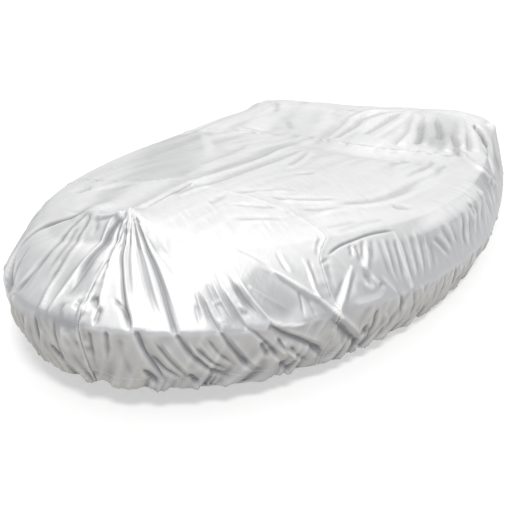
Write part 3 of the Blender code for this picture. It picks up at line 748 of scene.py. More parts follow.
# Near wall: the tension ridge with its facets, the slit, the spike and the gathers.
NEAR_WALL = (
    ((0.545, 2.04, 0.568, 1.92, 0.586, 1.72, 0.6, 1.56), 4, 8, -2.9, 0.3),
    ((0.586, 1.74, 0.6, 1.56, 0.624, 1.42, 0.65, 1.3, 0.678, 1.17, 0.702, 1.04, 0.735, 0.88, 0.79,
     0.62, 0.845, 0.28), 6, 11, 10.5, 0.45, C, 0.2, 0.1),
    ((0.56, 1.68, 0.586, 1.52, 0.61, 1.38, 0.632, 1.26, 0.655, 1.12), 6, 10, -3.6, -0.4, C, 0.2,
     0.15),
    ((0.664, 1.06, 0.705, 0.86, 0.762, 0.6, 0.832, 0.28, 0.852, 0.1), 6, 10, -13.2, -0.3, C, 0.45,
     0.06),
    ((0.7, 0.84, 0.722, 0.56, 0.735, 0.3), 7, 10, 4.8, -0.4),
    ((0.735, 0.66, 0.768, 0.44, 0.79, 0.2), 10, 14, -4.8, 0.0, S),
    ((0.5, 1.46, 0.512, 1.38, 0.535, 1.27, 0.56, 1.18, 0.592, 1.06), 5, 9, 3.4, -0.3, C, 0.12),
    ((0.632, 1.33, 0.618, 1.18, 0.596, 0.99), 3, 5, -3.8),
    ((0.64, 1.22, 0.64, 1.1, 0.635, 0.98), 3, 5, -2.9),
    ((0.478, 1.7, 0.468, 1.48, 0.466, 1.34, 0.473, 1.2, 0.484, 1.06), 4, 8, -10.2, -0.4, C, 0.45),
    ((0.462, 1.66, 0.452, 1.44, 0.45, 1.26, 0.458, 1.08), 4, 9, 3.8, 0.3),
    (FACET_RIM, 5, 7, 4.2, -0.2, C, 0.1, 0.1),
    ((0.446, 1.72, 0.426, 1.38, 0.426, 1.15, 0.432, 1.0), 3, 8, -6.7, -0.4, C, 0.45, 0.06),
    ((0.428, 1.7, 0.408, 1.4, 0.406, 1.16, 0.41, 1.02), 4, 10, 4.2, 0.4),
    ((0.4, 1.56, 0.388, 1.34, 0.386, 1.1), 4, 6, -2.5),
    ((0.364, 1.48, 0.356, 1.3, 0.353, 1.15, 0.36, 0.99), 3, 8, -6.3, -0.4, C, 0.45, 0.06),
    ((0.348, 1.44, 0.34, 1.26, 0.338, 1.04), 4, 8, 3.4, 0.3),
    ((0.33, 1.3, 0.322, 1.16, 0.318, 1.03), 3, 6, -2.9),
    ((0.373, 1.26, 0.392, 1.29, 0.414, 1.3), 4, 4, 2.5),
    ((0.362, 1.08, 0.382, 1.11, 0.404, 1.12), 4, 4, 2.5),
    ((0.362, 1.04, 0.382, 1.07, 0.404, 1.075), 4, 4, 2.1),
    ((0.438, 1.24, 0.45, 1.21, 0.464, 1.19), 4, 4, 2.5),
    ((0.436, 1.18, 0.448, 1.15, 0.462, 1.14), 4, 4, -2.1),
    ((0.65, 1.92, 0.634, 1.66, 0.631, 1.46), 3, 6, -3.4, 0.4),
    ((0.662, 1.9, 0.646, 1.66, 0.643, 1.42), 4, 7, 2.9, 0.3),
    (WALL_CREST, 3, 8, 5.8, 0.2, C, 0.45, 0.06),
    ((0.722, 1.72, 0.706, 1.48, 0.692, 1.28), 4, 7, -4.8, 0.2),
    ((0.842, 2.1, 0.789, 1.9, 0.76, 1.72, 0.738, 1.56), 3, 5, -2.7, 0.3),
    ((0.828, 2.08, 0.776, 1.88, 0.748, 1.72), 3, 5, 1.9),
    ((1.1, 1.62, 1.4, 1.56, 1.75, 1.58, 2.02, 1.66), 50, 50, 24, 0.0, S, 0.35, 0.25),
    ((0.738, 1.56, 0.764, 1.6, 0.8, 1.64), 5, 6, -3.8, -0.3),
    ((0.775, 1.6, 0.752, 1.42, 0.74, 1.24), 5, 8, -3.4, 0.0, S),
    (SLIT, 3, 3, -3.2, 0.0, C, 0.1, 0.15),
    ((0.89, 1.8, 0.874, 1.64, 0.856, 1.54), 4, 4, -5.3),
    ((0.912, 1.78, 0.9, 1.66, 0.886, 1.5, 0.872, 1.46), 4, 5, -5.8),
    ((0.901, 1.78, 0.888, 1.64, 0.876, 1.54), 3, 3, 3.4),
    ((0.928, 1.84, 0.908, 1.66, 0.886, 1.48), 3, 5, 3.8),
    (SEAM_CREST, 5, 8, 6.7, 0.2, C, 0.45, 0.08),
    ((0.95, 1.82, 0.918, 1.62, 0.894, 1.44), 4, 6, -5.8),
    ((0.986, 1.8, 0.954, 1.58, 0.926, 1.4), 4, 8, -4.8, 0.3),
    (SPIKE, 3, 12, 10.2, 0.2, C, 0.35, 0.03),
    ((0.868, 1.46, 0.826, 1.32, 0.792, 1.2, 0.73, 1.02), 4, 9, -5.8, -0.2, C, 0.45),
    ((0.826, 1.44, 0.78, 1.3, 0.74, 1.18, 0.69, 1.06), 3, 7, -4.8, 0.2, C, 0.45),
    ((0.868, 1.36, 0.88, 1.26, 0.868, 1.14), 10, 10, -4.8, 0.0, S),
    ((0.89, 1.3, 0.905, 1.22, 0.93, 1.2), 6, 6, 3.4),
    ((0.85, 1.24, 0.872, 1.18, 0.9, 1.16), 6, 6, 3.8),
    ((0.9, 1.12, 0.925, 1.18, 0.94, 1.1), 6, 7, -3.8),
    ((0.76, 1.08, 0.82, 1.05, 0.89, 1.06, 0.945, 1.12), 6, 6, 2.9, 0.3),
    ((0.924, 1.28, 0.951, 1.13, 0.98, 0.98), 3, 5, 4.3, 0.4),
    ((1.01, 1.78, 0.99, 1.52, 0.975, 1.26, 0.982, 1.02), 4, 9, -4.3, 0.2),
    ((1.032, 1.8, 1.008, 1.52, 0.99, 1.26), 4, 9, 3.8, 0.3),
    ((1.058, 1.8, 1.028, 1.52, 1.006, 1.26, 1.0, 1.04), 4, 10, -5.8, 0.3),
    ((1.112, 1.96, 1.096, 1.8, 1.079, 1.52, 1.055, 1.22, 1.04, 1.0), 3, 9, 7.2, 0.4, C, 0.45,
     0.05),
    ((1.082, 1.72, 1.062, 1.48, 1.038, 1.22, 1.022, 1.03), 4, 10, -7.2, -0.2),
    ((1.112, 1.66, 1.096, 1.44, 1.072, 1.18, 1.062, 1.02), 4, 7, -4.3),
    ((1.15, 1.8, 1.122, 1.46, 1.094, 1.2, 1.082, 1.04), 3, 8, 4.3, 0.3),
    ((1.172, 1.72, 1.15, 1.46, 1.12, 1.2, 1.1, 1.04), 3, 8, -5.3),
    ((1.196, 1.78, 1.172, 1.5, 1.148, 1.24, 1.12, 1.03), 3, 9, 5.3, 0.4),
    ((1.212, 1.6, 1.186, 1.38, 1.16, 1.2, 1.138, 1.05), 3, 8, -4.8),
    ((1.24, 1.66, 1.216, 1.42, 1.19, 1.2, 1.17, 1.04), 3, 9, 4.3, 0.3),
    ((1.25, 1.44, 1.232, 1.26, 1.21, 1.06), 4, 8, -4.8),
    ((1.244, 1.48, 1.291, 1.28, 1.34, 1.08), 3, 7, 4.8, 0.3),
    ((1.262, 1.52, 1.312, 1.32, 1.362, 1.12), 4, 8, -5.8),
    ((1.29, 1.52, 1.336, 1.34, 1.384, 1.14), 3, 7, 4.3, 0.3),
    ((1.32, 1.58, 1.356, 1.4, 1.4, 1.2), 4, 8, -5.8),
    ((1.35, 1.6, 1.382, 1.42, 1.426, 1.22), 4, 9, 4.8, 0.3),
    ((1.38, 1.56, 1.412, 1.38, 1.456, 1.18), 4, 9, -4.3),
    ((1.6, 1.66, 1.69, 1.52, 1.79, 1.46), 16, 16, -6.7, 0.0, S),
    ((1.56, 1.6, 1.62, 1.44, 1.66, 1.26), 6, 10, 4.8, 0.3),
)

# Top: drape lines beside the centreline, wrinkles of the near side, slack of the far side.
TOP_FOLDS = (
    ((-0.52, 2.93, -0.8, 2.97, -1.05, 2.98, -1.19, 3.02, -1.4, 3.04, -1.66, 3.02, -2.15, 2.96,
     -2.46, 2.99), 11, 13, 9, 0.0, S, 0.05, 0.05),
    ((-1.11, 2.9, -1.29, 2.86, -1.67, 2.84, -2.12, 2.84, -2.47, 2.91), 11, 13, 6.5, 0.0, S, 0.12,
     0.05),
    ((-1.15, 2.95, -1.39, 2.96, -1.61, 2.95, -1.91, 2.93, -2.35, 2.93), 12, 13, -7.5, 0.0, S,
     0.12, 0.1),
    ((-0.75, 2.99, -1.02, 3.03, -1.13, 3.08, -1.36, 3.1, -1.73, 3.08, -2.05, 3.06), 11, 14, -7,
     0.0, S, 0.12, 0.15),
    ((-1.0, 2.93, -1.28, 2.87, -1.55, 2.81, -1.81, 2.77, -2.16, 2.69, -2.4, 2.64), 11, 13, 6.5,
     0.0, S),
    ((-1.1, 2.88, -1.4, 2.83, -1.68, 2.78, -1.98, 2.72, -2.32, 2.66), 11, 14, -7.4, 0.0, S),
    ((0.7, 2.94, 0.87, 2.91, 1.0, 2.82), 11, 13, 3.7, 0.0, S),
    ((0.72, 2.68, 0.8, 2.7, 0.9, 2.73), 11, 13, -4.6, 0.0, S),
    ((0.91, 2.71, 0.98, 2.62, 1.07, 2.52), 11, 13, -5.6, 0.0, S),
    ((0.93, 2.66, 1.02, 2.56, 1.12, 2.44), 11, 13, 4.6, 0.0, S),
    ((0.94, 2.54, 1.03, 2.42, 1.19, 2.25), 11, 13, -7.4, 0.0, S),
    ((0.93, 2.47, 1.02, 2.36, 1.18, 2.2), 11, 13, 5.6, 0.0, S),
    ((0.76, 2.6, 0.85, 2.46, 0.93, 2.36), 11, 13, -4.6, 0.0, S),
    ((0.63, 2.44, 0.76, 2.33, 0.88, 2.22), 11, 13, -3.6, 0.0, S, 0.4, 0.4),
    ((0.66, 2.34, 0.74, 2.28, 0.83, 2.21), 11, 13, 3.7, 0.0, S),
    ((0.84, 2.09, 0.95, 2.09, 1.08, 2.06), 11, 13, -3, 0.0, S, 0.4, 0.4),
    ((0.92, 2.34, 1.04, 2.24, 1.2, 2.14), 11, 13, -4.6, 0.0, S),
    ((0.88, 2.22, 1.07, 2.22, 1.25, 2.16, 1.4, 2.15, 1.58, 2.15, 1.9, 2.1), 11, 18, 7.4, -0.3, S,
     0.12),
    ((1.05, 2.28, 1.24, 2.22, 1.42, 2.21, 1.62, 2.22, 1.92, 2.2), 11, 20, -6.5, 0.0, S, 0.1),
    ((1.24, 2.11, 1.28, 2.07, 1.34, 2.02), 11, 13, -6.5, 0.0, S),
    ((1.29, 2.68, 1.35, 2.64, 1.45, 2.62), 11, 13, -5.6, 0.0, S),
    ((1.36, 2.77, 1.63, 2.83, 2.04, 2.94), 11, 13, -5.6, 0.0, S),
    ((1.3, 2.74, 1.58, 2.79, 1.98, 2.9), 11, 13, 4.6, 0.0, S),
    ((2.26, 2.47, 2.05, 2.4, 1.86, 2.41, 1.62, 2.34), 11, 18, -7, 0.0, S, 0.2, 0.6),
    ((2.24, 2.41, 2.02, 2.35, 1.8, 2.36, 1.64, 2.3), 11, 16, 5.2, 0.0, S, 0.2, 0.6),
    ((2.27, 2.31, 2.02, 2.26, 1.74, 2.28, 1.46, 2.23), 11, 18, -8.5, 0.0, S, 0.2, 0.6),
    ((2.22, 2.255, 1.9, 2.235, 1.66, 2.21), 11, 16, 5.5, 0.0, S, 0.25, 0.5),
    ((2.16, 2.2, 1.96, 2.21, 1.74, 2.16), 11, 16, -7.5, 0.0, S, 0.25, 0.6),
    ((-2.39, 2.12, -1.9, 2.48, -1.48, 2.76), 14, 16, 9.3, 0.5, S),
    ((-2.1, 2.14, -2.4, 2.1, -2.75, 2.09), 11, 13, -8.4, 0.0, S),
    ((-2.1, 2.2, -2.4, 2.16, -2.75, 2.15), 11, 13, 7.4, 0.0, S),
    ((-3.02, 2.14, -3.14, 2.15, -3.24, 2.14), 11, 13, 9.3, 0.0, S),
    ((-3.14, 2.28, -2.95, 2.38, -2.76, 2.47), 12, 14, -7.4, 0.0, S),
    ((-2.7, 2.61, -2.58, 2.68, -2.48, 2.74), 14, 14, -5.6, 0.0, S),
    ((-2.5, 2.34, -2.42, 2.52, -2.44, 2.7), 14, 16, -5.6, 0.0, S),
    ((-0.99, 2.34, -0.97, 2.26, -0.94, 2.18), 22, 22, -10, 0.0, S),
    ((-0.5, 2.42, -0.75, 2.46, -1.02, 2.5), 55, 75, -11, 0.0, S, 0.3, 0.12),
)

# Stern: star on the centreline, puckered rise, corner ridge and the valley behind it.
STERN_FOLDS = (
    ((2.36, 2.95, 2.68, 2.93, 2.98, 2.88, 3.76, 2.24), 8, 20, 14, 0.4, C, 0.03),
    ((2.36, 2.92, 2.66, 2.88, 2.92, 2.82, 3.56, 2.3), 8, 20, -12, 0.0, S, 0.05),
    ((2.34, 2.91, 2.62, 2.83, 2.9, 2.74, 3.4, 2.36), 8, 18, 11, 0.3, C, 0.03),
    ((2.47, 2.77, 2.81, 2.7, 3.24, 2.6), 12, 22, -13, 0.0, S, 0.1),
    ((2.44, 2.7, 2.76, 2.62, 3.1, 2.56), 10, 18, 8, 0.0, C, 0.1),
    ((2.36, 2.52, 2.58, 2.49, 2.79, 2.51, 3.13, 2.54), 12, 22, 20, -0.4, C, 0.08),
    ((2.42, 2.42, 2.56, 2.42, 2.77, 2.45, 3.1, 2.48), 8, 12, -20, 0.0, C, 0.06),
    ((2.4, 2.37, 2.5, 2.38, 2.64, 2.4, 2.86, 2.43), 16, 8, 16, 0.0, C, 0.04, 0.05),
    ((2.56, 2.31, 2.72, 2.33, 2.86, 2.36, 3.02, 2.4), 12, 18, -20, 0.0, S, 0.1),
    ((2.36, 2.24, 2.52, 2.25, 2.67, 2.275, 2.96, 2.32), 12, 16, 18, 0.2, C, 0.06),
    ((2.32, 2.18, 2.5, 2.2, 2.66, 2.235, 2.96, 2.27), 8, 11, -21, 0.0, C, 0.06),
    ((2.5, 2.15, 2.66, 2.18, 2.87, 2.21, 3.08, 2.24), 12, 16, 14, 0.0, C, 0.1),
    ((2.46, 2.1, 2.64, 2.12, 2.88, 2.16), 12, 16, -10, 0.0, S, 0.1),
    ((2.48, 2.03, 2.8, 2.09, 2.98, 2.13), 14, 18, 10, 0.0, C, 0.1),
    ((2.45, 2.18, 2.3, 2.1, 2.18, 1.96, 2.19, 1.7, 2.27, 1.45, 2.38, 1.22), 12, 18, 24, -0.4, C,
     0.05, 0.15),
    ((3.04, 2.12, 2.8, 1.95, 2.62, 1.76, 2.48, 1.55, 2.4, 1.3), 18, 24, -42, 0.0, C, 0.06),
    ((3.16, 2.02, 3.0, 1.72, 2.8, 1.42, 2.66, 1.1), 30, 36, 22, 0.0, S, 0.12),
    ((2.74, 2.06, 2.62, 1.92, 2.52, 1.74), 8, 10, 8),
    ((2.94, 1.94, 2.8, 1.74, 2.64, 1.52), 7, 9, 8),
    ((-2.36, 2.93, -2.7, 2.88, -3.2, 2.8), 10, 20, 9, 0.0, C, 0.06),
)


# Painted shade (slack facets, slit, valleys, hem), and painted highlights along crests where the
# amount is below 0.
# Columns: path as above, width in millimetres, amount and the share of each fade.
PAINTED_SHADE_PLACES = (
    ((0.52, 1.62, 0.545, 1.36, 0.58, 1.08), 46, 0.48),
    ((0.62, 1.3, 0.66, 1.14, 0.69, 1.02), 28, 0.25),
    (SLIT, 3.4, 0.85),
    ((2.3, 2.32, 2.7, 2.33, 3.15, 2.3), 90, 0.34, 0.3),
    ((-3.1, 2.6, -2.6, 2.75, -2.4, 3.02, -2.75, 3.3), 150, 0.16, 0.2),
    ((3.04, 2.1, 2.8, 1.96, 2.6, 1.78, 2.47, 1.55, 2.42, 1.28), 20, 0.75),
    ((3.1, 2.02, 2.9, 1.8, 2.7, 1.5, 2.6, 1.2), 50, 0.35),
    ((-1.08, 2.78, -1.14, 2.71, -1.46, 2.5, -1.95, 2.22, -2.3, 2.12), 130, 0.26, 0.04),
    ((0.162, 0.98, 0.186, 0.62, 0.24, 0.12), 13, 0.5, 0.25),
    ((0.256, 0.96, 0.296, 0.62, 0.37, 0.24), 12, 0.4, 0.25),
    ((0.368, 0.96, 0.405, 0.66, 0.47, 0.3), 12, 0.4, 0.25),
    ((0.5, 0.98, 0.545, 0.8, 0.64, 0.5), 13, 0.4, 0.25),
    ((0.67, 1.0, 0.715, 0.8, 0.79, 0.46), 15, 0.45, 0.25),
    ((-1.2, 2.95, -1.61, 2.97, -1.91, 2.98, -2.27, 2.93), 10, 0.22),
    ((-0.45, 1.8, -0.3, 1.62, -0.12, 1.48, 0.03, 1.3), 55, 0.34, 0.2),
    (FAR_VALLEY, 9, 0.38),
    (FAR_CREASE, 7, 0.42),
    (MIDDLE_VALLEY, 7, 0.38),
    (STEM_VALLEY, 7, 0.36),
    (NEAR_CREASE, 4.5, 0.5),
    (AFT_CREASE, 4, 0.5),
    ((0.88, 2.02, 1.02, 2.04, 1.12, 2.02), 8, 0.2),
    ((-0.13, 0.5, -0.11, 0.22), 8, 0.6, 0.3),
    ((0.17, 0.36, 0.205, 0.1), 9, 0.7, 0.3),
    ((0.3, 0.28, 0.33, 0.05), 8, 0.6, 0.3),
    ((0.478, 0.72, 0.512, 0.46), 10, 0.65, 0.3),
    ((0.56, 0.24, 0.605, 0.0), 10, 0.7, 0.3),
    ((0.845, 0.56, 0.88, 0.3), 12, 0.6, 0.3),
    ((0.335, 1.42, 0.39, 1.24, 0.425, 1.05), 34, 0.42, 0.2),
    ((0.455, 1.52, 0.475, 1.26, 0.52, 1.05), 20, 0.36, 0.2),
    ((0.16, 0.16, 0.4, 0.14, 0.66, 0.12, 0.95, 0.1), 32, 0.42, 0.1),
    ((0.6, 1.56, 0.624, 1.42, 0.65, 1.3, 0.678, 1.17, 0.702, 1.04, 0.735, 0.88), 3.6, -0.9),
    (SPIKE, 5.5, -0.9, 0.05),
    (FACET_RIM, 3.6, -0.6),
    (WALL_CREST, 3.6, -0.8),
    (SEAM_CREST, 5, -0.7),
)


@dataclass(frozen=True)
class FoldRun:
    """Many like folds side by side, each a little different from its neighbour."""

    girth_from: float
    girth_to: float
    spacing: float
    level_a: float
    level_b: float
    slant: float
    width: float
    height: float
    unevenness: float
    seed: int

    def folds(self) -> list[Fold]:
        """Sets out the run.

        Returns:
            Every fold of the run, ridges and troughs by turns.
        """
        draw = np.random.default_rng(self.seed)
        span = self.girth_to - self.girth_from
        count = int(abs(span) / self.spacing)
        made = []
        for i in range(count):
            shift, lean, reach, slant, width, height = draw.uniform(-1.0, 1.0, 6)
            girth = self.girth_from + span * (i + 0.5 + 0.35 * shift) / count
            sideways = self.slant * (1.0 + self.unevenness * slant)
            top = self.level_a + (self.level_b - self.level_a) * 0.22 * reach
            wide = self.width * (1.0 + 0.5 * self.unevenness * width)
            high = self.height * (1.0 + self.unevenness * height) * (1.0 if i % 2 else -1.0)
            path = ((girth, top), (girth + 0.6 * sideways, 0.5 * (top + self.level_b)),
                    (girth + sideways, self.level_b))
            made.append(Fold(path, 0.5 * wide, wide, high, 0.35 * lean))
        return made


# Columns: girth of the first and the last fold, spacing, level of their tops and feet, slant,
# width, height, unevenness and seed.
FOLD_RUNS = (
    FoldRun(0.86, 3.94, 0.040, 1.00, 0.10, 0.070, 0.009, 0.009, 0.6, 11),
    FoldRun(-0.06, -3.94, 0.040, 1.00, 0.10, -0.060, 0.009, 0.009, 0.6, 12),
    FoldRun(1.48, 2.24, 0.050, 1.74, 1.04, -0.020, 0.010, 0.009, 0.7, 13),
    FoldRun(-0.80, -3.00, 0.062, 1.85, 1.04, 0.040, 0.013, 0.009, 0.7, 14),
    FoldRun(3.26, 3.92, 0.066, 1.90, 1.02, -0.040, 0.014, 0.010, 0.6, 15),
    FoldRun(-3.14, -3.92, 0.066, 1.90, 1.02, 0.040, 0.014, 0.010, 0.6, 16),
)


@dataclass
class Gathers:
    """Small uneven folds that need no line of their own: hem gathers and slack cloth.

    Numbers added to a place in the noise only keep one pattern apart from the next.
    """

    hem_pitch: float = 0.045
    hem_height: float = 0.010
    hem_reach: float = 0.22
    channel_height: float = 0.0025
    band_height: float = 0.0015
    wall_height: float = 0.0013
    top_height: float = 0.0030
    noise: Unevenness = field(default_factory=lambda: Unevenness(5))
    fine: Unevenness = field(default_factory=lambda: Unevenness(6))

    def lift(self, girth: np.ndarray, level: np.ndarray, points: np.ndarray) -> np.ndarray:
        """Height that the gathers add.

        Args:
            girth: signed girth of each point.
            level: level of each.
            points: places on the smooth form.

        Returns:
            Height along the outward direction.
        """
        slanted = girth + 0.07 * (1.0 - level) * np.sign(girth)
        near_hem = smoothstep(-0.6, 0.1, level) * (1.0 - smoothstep(0.30, 1.0, level))
        along = slanted / self.hem_pitch + 0.9 * self.noise.at(girth / 0.13, 3.0)
        bunches = 1.0 - 2.0 * np.abs(self.noise.at(along, level * 0.7 + 7.0))
        small = 1.0 - 2.0 * np.abs(self.fine.at(2.3 * along, level * 1.3 + 2.0))
        tight = np.exp(-(level / self.hem_reach) ** 2)
        lift = self.hem_height * near_hem * (
            (bunches - 0.4) * (0.4 + 0.6 * tight) + 0.45 * tight * (small - 0.4))
        lift = lift + self.channel_height * np.exp(-((level - 0.05) / 0.10) ** 2)

        band = smoothstep(0.02, 0.25, level) * (1.0 - smoothstep(0.92, 1.02, level))
        long = 1.0 - 2.0 * np.abs(self.fine.at(slanted / 0.038, level * 1.1 + 3.0))
        lift = lift + self.band_height * band * (long - 0.4)

        wall = smoothstep(1.0, 1.15, level) * (1.0 - smoothstep(1.8, 2.2, level))
        crinkle = (1.0 - 2.0 * np.abs(self.noise.at(girth / 0.036 + 0.5 * level, level * 2.0))
                   + 0.5 * self.fine.at(girth / 0.015, level * 4.0))
        lift = lift + self.wall_height * wall * crinkle * (
            0.5 + 0.5 * self.fine.at(girth / 0.16, level * 1.5))

        top = smoothstep(1.95, 2.25, level)
        x, y = points[:, 0], points[:, 1]
        slack = (self.noise.at(x / 0.075 + 0.35 * y / 0.3, y / 0.34)
                 - 0.8 * np.abs(self.fine.at(x / 0.055 - 0.4 * y / 0.16, y / 0.26))
                 + 0.20 * self.noise.at((x + y) / 0.016, (x - 0.5 * y) / 0.05))
        return lift + self.top_height * top * slack


@dataclass(frozen=True)
class SewnSeam:
    """A felled seam: a raised band, with puckers and short wrinkles beside it."""

    name: str
    rib: float
    sides: tuple[int, ...]
    half_width: float = 0.007
    rise: float = 0.0016
    pucker: float = 0.0022
    pucker_pitch: float = 0.019
    drag: float = 0.0016
    drag_reach: float = 0.030
    stitch_offset: float = 0.0040

    def path(self, form: CoverForm, shift: float = 0.0) -> tuple[np.ndarray, np.ndarray]:
        """Girth and level along the seam from one hem to the other or to the ridge.

        Args:
            form: shape of the cover.
            shift: girth added, for a line beside the seam.

        Returns:
            Two lists, girth and level.
        """
        levels = np.linspace(-0.35, 3.0, 120)
        girths, heights = [], []
        for number, side in enumerate(self.sides):
            girth = form.rib_girth(np.full(levels.shape, self.rib), side)
            girth = girth + form.drift(np.full(levels.shape, self.rib), levels, side)
            girth = girth + (side if self.rib > 0.0 else 1.0) * shift
            order = slice(None) if number == 0 else slice(None, None, -1)
            girths.append(girth[order])
            heights.append(levels[order])
        return np.concatenate(girths), np.concatenate(heights)

    def lift(self, points: np.ndarray, normals: np.ndarray, form: CoverForm,
             noise: Unevenness) -> np.ndarray:
        """Height that the seam adds.

        Args:
            points: places on the smooth form.
            normals: outward directions there.
            form: shape of the cover.
            noise: fixed uneven values.

        Returns:
            Height along the outward direction.
        """
        lift = np.zeros(len(points))
        girth, level = self.path(form)
        near = reach_of_line(points, normals, form.point(girth, level), 0.08)
        if len(near.number) == 0:
            return lift
        d, arc = near.distance, near.arc
        band = 1.0 - smoothstep(0.6 * self.half_width, 1.5 * self.half_width, d)
        wave = noise.at(arc / self.pucker_pitch, 2.0 * near.side + 5.0 * self.rib)
        beside = np.exp(-((d - 1.3 * self.half_width) / 0.008) ** 2)
        drag = noise.at(arc / (0.7 * self.pucker_pitch), 31.0 + near.side) * np.exp(
            -d / self.drag_reach)
        lift[near.number] = (self.rise * band - 0.5 * self.rise * np.exp(-(d / 0.0016) ** 2)
                             + self.pucker * beside * wave + self.drag * drag)
        return lift


SEAMS = (
    SewnSeam("bow_seam", 0.0, (1,), half_width=0.009),
    SewnSeam("fore_seam", 1.0, (1, -1), pucker=0.0010, rise=0.0013, drag=0.0010),
    SewnSeam("aft_seam", 2.0, (1, -1), pucker=0.0034, rise=0.0024, drag=0.0028),
)


@dataclass
class DrapedCloth:
    """The folded cloth: smooth form, folds, gathers and seams together."""

    form: CoverForm
    folds: list[Fold]
    gathers: Gathers
    seams: tuple[SewnSeam, ...]
    worn: tuple[PaintedShadePlace, ...]
    noise: Unevenness = field(default_factory=lambda: Unevenness(9))

    def lift(self, girth: np.ndarray, level: np.ndarray) -> tuple[np.ndarray, ...]:
        """Folded height of the cloth.

        Args:
            girth: signed girth of each point.
            level: level of each.

        Returns:
            Smooth places, outward directions and the heights over them.
        """
        points, normals = self.form.point(girth, level), self.form.normal(girth, level)
        lift = self.gathers.lift(girth, level, points)
        for fold in self.folds:
            fold.add_to(lift, points, normals, self.form)
        for seam in self.seams:
            lift = lift + seam.lift(points, normals, self.form, self.noise)
        return points, normals, lift

    def dullness(self, points: np.ndarray, normals: np.ndarray) -> np.ndarray:
        """Painted shade at each point, from -1 painted highlight to 1 full painted shade.

        Args:
            points: places on the smooth form.
            normals: outward directions there.

        Returns:
            The dullness of each point.
        """
        shade_paint = np.zeros(len(points))
        for place in self.worn:
            place.add_to(shade_paint, points, normals, self.form)
        return shade_paint

    def place(self, girth: np.ndarray, level: np.ndarray, above: float = 0.0) -> np.ndarray:
        """Places on the folded cloth.

        Args:
            girth: signed girth of each point.
            level: level of each.
            above: height over the cloth.

        Returns:
            One x, y, z for each.
        """
        points, normals, lift = self.lift(girth, level)
        return points + normals * (lift + above)[:, None]


# ---------------------------------------------------------------- node expressions
class Wire:
    """A node socket that can be used in sums."""

    def __init__(self, bench: NodeBench, socket: bpy.types.NodeSocket) -> None:
        """Wraps a socket.

        Args:
            bench: the bench whose tree holds the socket.
            socket: an output socket.
        """
        self.bench = bench
        self.socket = socket

    def __add__(self, other: Wire | float) -> Wire:
        """Sum."""
        return self.bench.maths("ADD", self, other)

    __radd__ = __add__

    def __sub__(self, other: Wire | float) -> Wire:
        """Difference."""
        return self.bench.maths("SUBTRACT", self, other)

    def __rsub__(self, other: Wire | float) -> Wire:
        """Difference from a number."""
        return self.bench.maths("SUBTRACT", other, self)

    def __mul__(self, other: Wire | float) -> Wire:
        """Product."""
        return self.bench.maths("MULTIPLY", self, other)

    __rmul__ = __mul__

    def clamped(self) -> Wire:
        """The value kept between 0 and 1."""
        return self.bench.maths("ADD", self, 0.0, clamp=True)


class NodeBench:
    """Adds nodes to a tree of a material or of geometry."""

    def __init__(self, tree: bpy.types.NodeTree) -> None:
        """Starts on an empty tree.

        Args:
            tree: the tree.
        """
        self.tree = tree

    def node(self, kind: str, settings: dict[str, object] | None = None,
             **sockets: object) -> bpy.types.Node:
        """Adds a node.

        Args:
            kind: Blender's type name of the node.
            settings: properties that are set before its sockets.
            **sockets: value or wire for each input, by name with _ for a space.

        Returns:
            The node.
        """
        node = self.tree.nodes.new(kind)
        for key, value in (settings or {}).items():
            setattr(node, key, value)
        for key, value in sockets.items():
            self.feed(node.inputs[key.replace("_", " ")], value)
        return node

    def feed(self, socket: bpy.types.NodeSocket, value: object) -> None:
        """Links a wire to a socket or sets its value.

        Args:
            socket: an input socket.
            value: a wire, or a number, colour or vector.
        """
        if isinstance(value, Wire):
            self.tree.links.new(value.socket, socket)
        else:
            socket.default_value = value

    def wire(self, node: bpy.types.Node, output: str | int = 0) -> Wire:
        """One output of a node as a wire."""
        return Wire(self, node.outputs[output])

    def maths(self, operation: str, a: Wire | float, b: Wire | float,
              clamp: bool = False) -> Wire:
        """A Math node on two values.

        Args:
            operation: name of the operation.
            a: first value.
            b: second value.
            clamp: keeps the result between 0 and 1.

        Returns:
            The result.
        """
        node = self.node("ShaderNodeMath", {"operation": operation, "use_clamp": clamp})
        self.feed(node.inputs[0], a)
        self.feed(node.inputs[1], b)
        return self.wire(node)


class ShaderBench(NodeBench):
    """Builds one material's node tree."""

    def __init__(self, name: str) -> None:
        """Starts a material with an empty tree.

        Args:
            name: name of the material.
        """
        self.material = bpy.data.materials.new(name)
        self.material.use_nodes = True
        super().__init__(self.material.node_tree)
        self.tree.nodes.clear()

    def attribute(self, name: str) -> Wire:
        """A number that the mesh carries, as a wire."""
        node = self.node("ShaderNodeAttribute", {"attribute_name": name})
        return self.wire(node, "Fac")

    def noise(self, place: Wire, scale: float, detail: float, **sockets: float) -> Wire:
        """A Noise Texture as a wire.

        Args:
            place: where it is read.
            scale: its scale.
            detail: its detail.
            **sockets: its other inputs.

        Returns:
            The value of the noise.
        """
        return self.wire(self.node("ShaderNodeTexNoise", Vector=place, Scale=scale,
                                   Detail=detail, **sockets))

    def mapped(self, place: Wire, kind: str = "POINT", **sockets: tuple) -> Wire:
        """Place after a Mapping node.

        Args:
            place: place before it.
            kind: type of the mapping.
            **sockets: its scale and rotation.

        Returns:
            The turned and scaled place.
        """
        return self.wire(self.node("ShaderNodeMapping", {"vector_type": kind}, Vector=place,
                                   **sockets))

    def finished(self, shader: bpy.types.Node) -> bpy.types.Material:
        """The material, once this shader is its surface."""
        self.node("ShaderNodeOutputMaterial", Surface=self.wire(shader))
        return self.material

    def blend(self, share: Wire, low: Colour | Wire, high: Colour | Wire) -> Wire:
        """Mixes two colours.

        Args:
            share: 0 for the first colour, 1 for the second.
            low: first colour.
            high: second colour.

        Returns:
            The mixed colour.
        """
        node = self.node("ShaderNodeMix", {"data_type": "RGBA"})
        self.feed(node.inputs[0], share)
        self.feed(node.inputs[6], low if isinstance(low, Wire) else (*low, 1.0))
        self.feed(node.inputs[7], high if isinstance(high, Wire) else (*high, 1.0))
        return self.wire(node, 2)


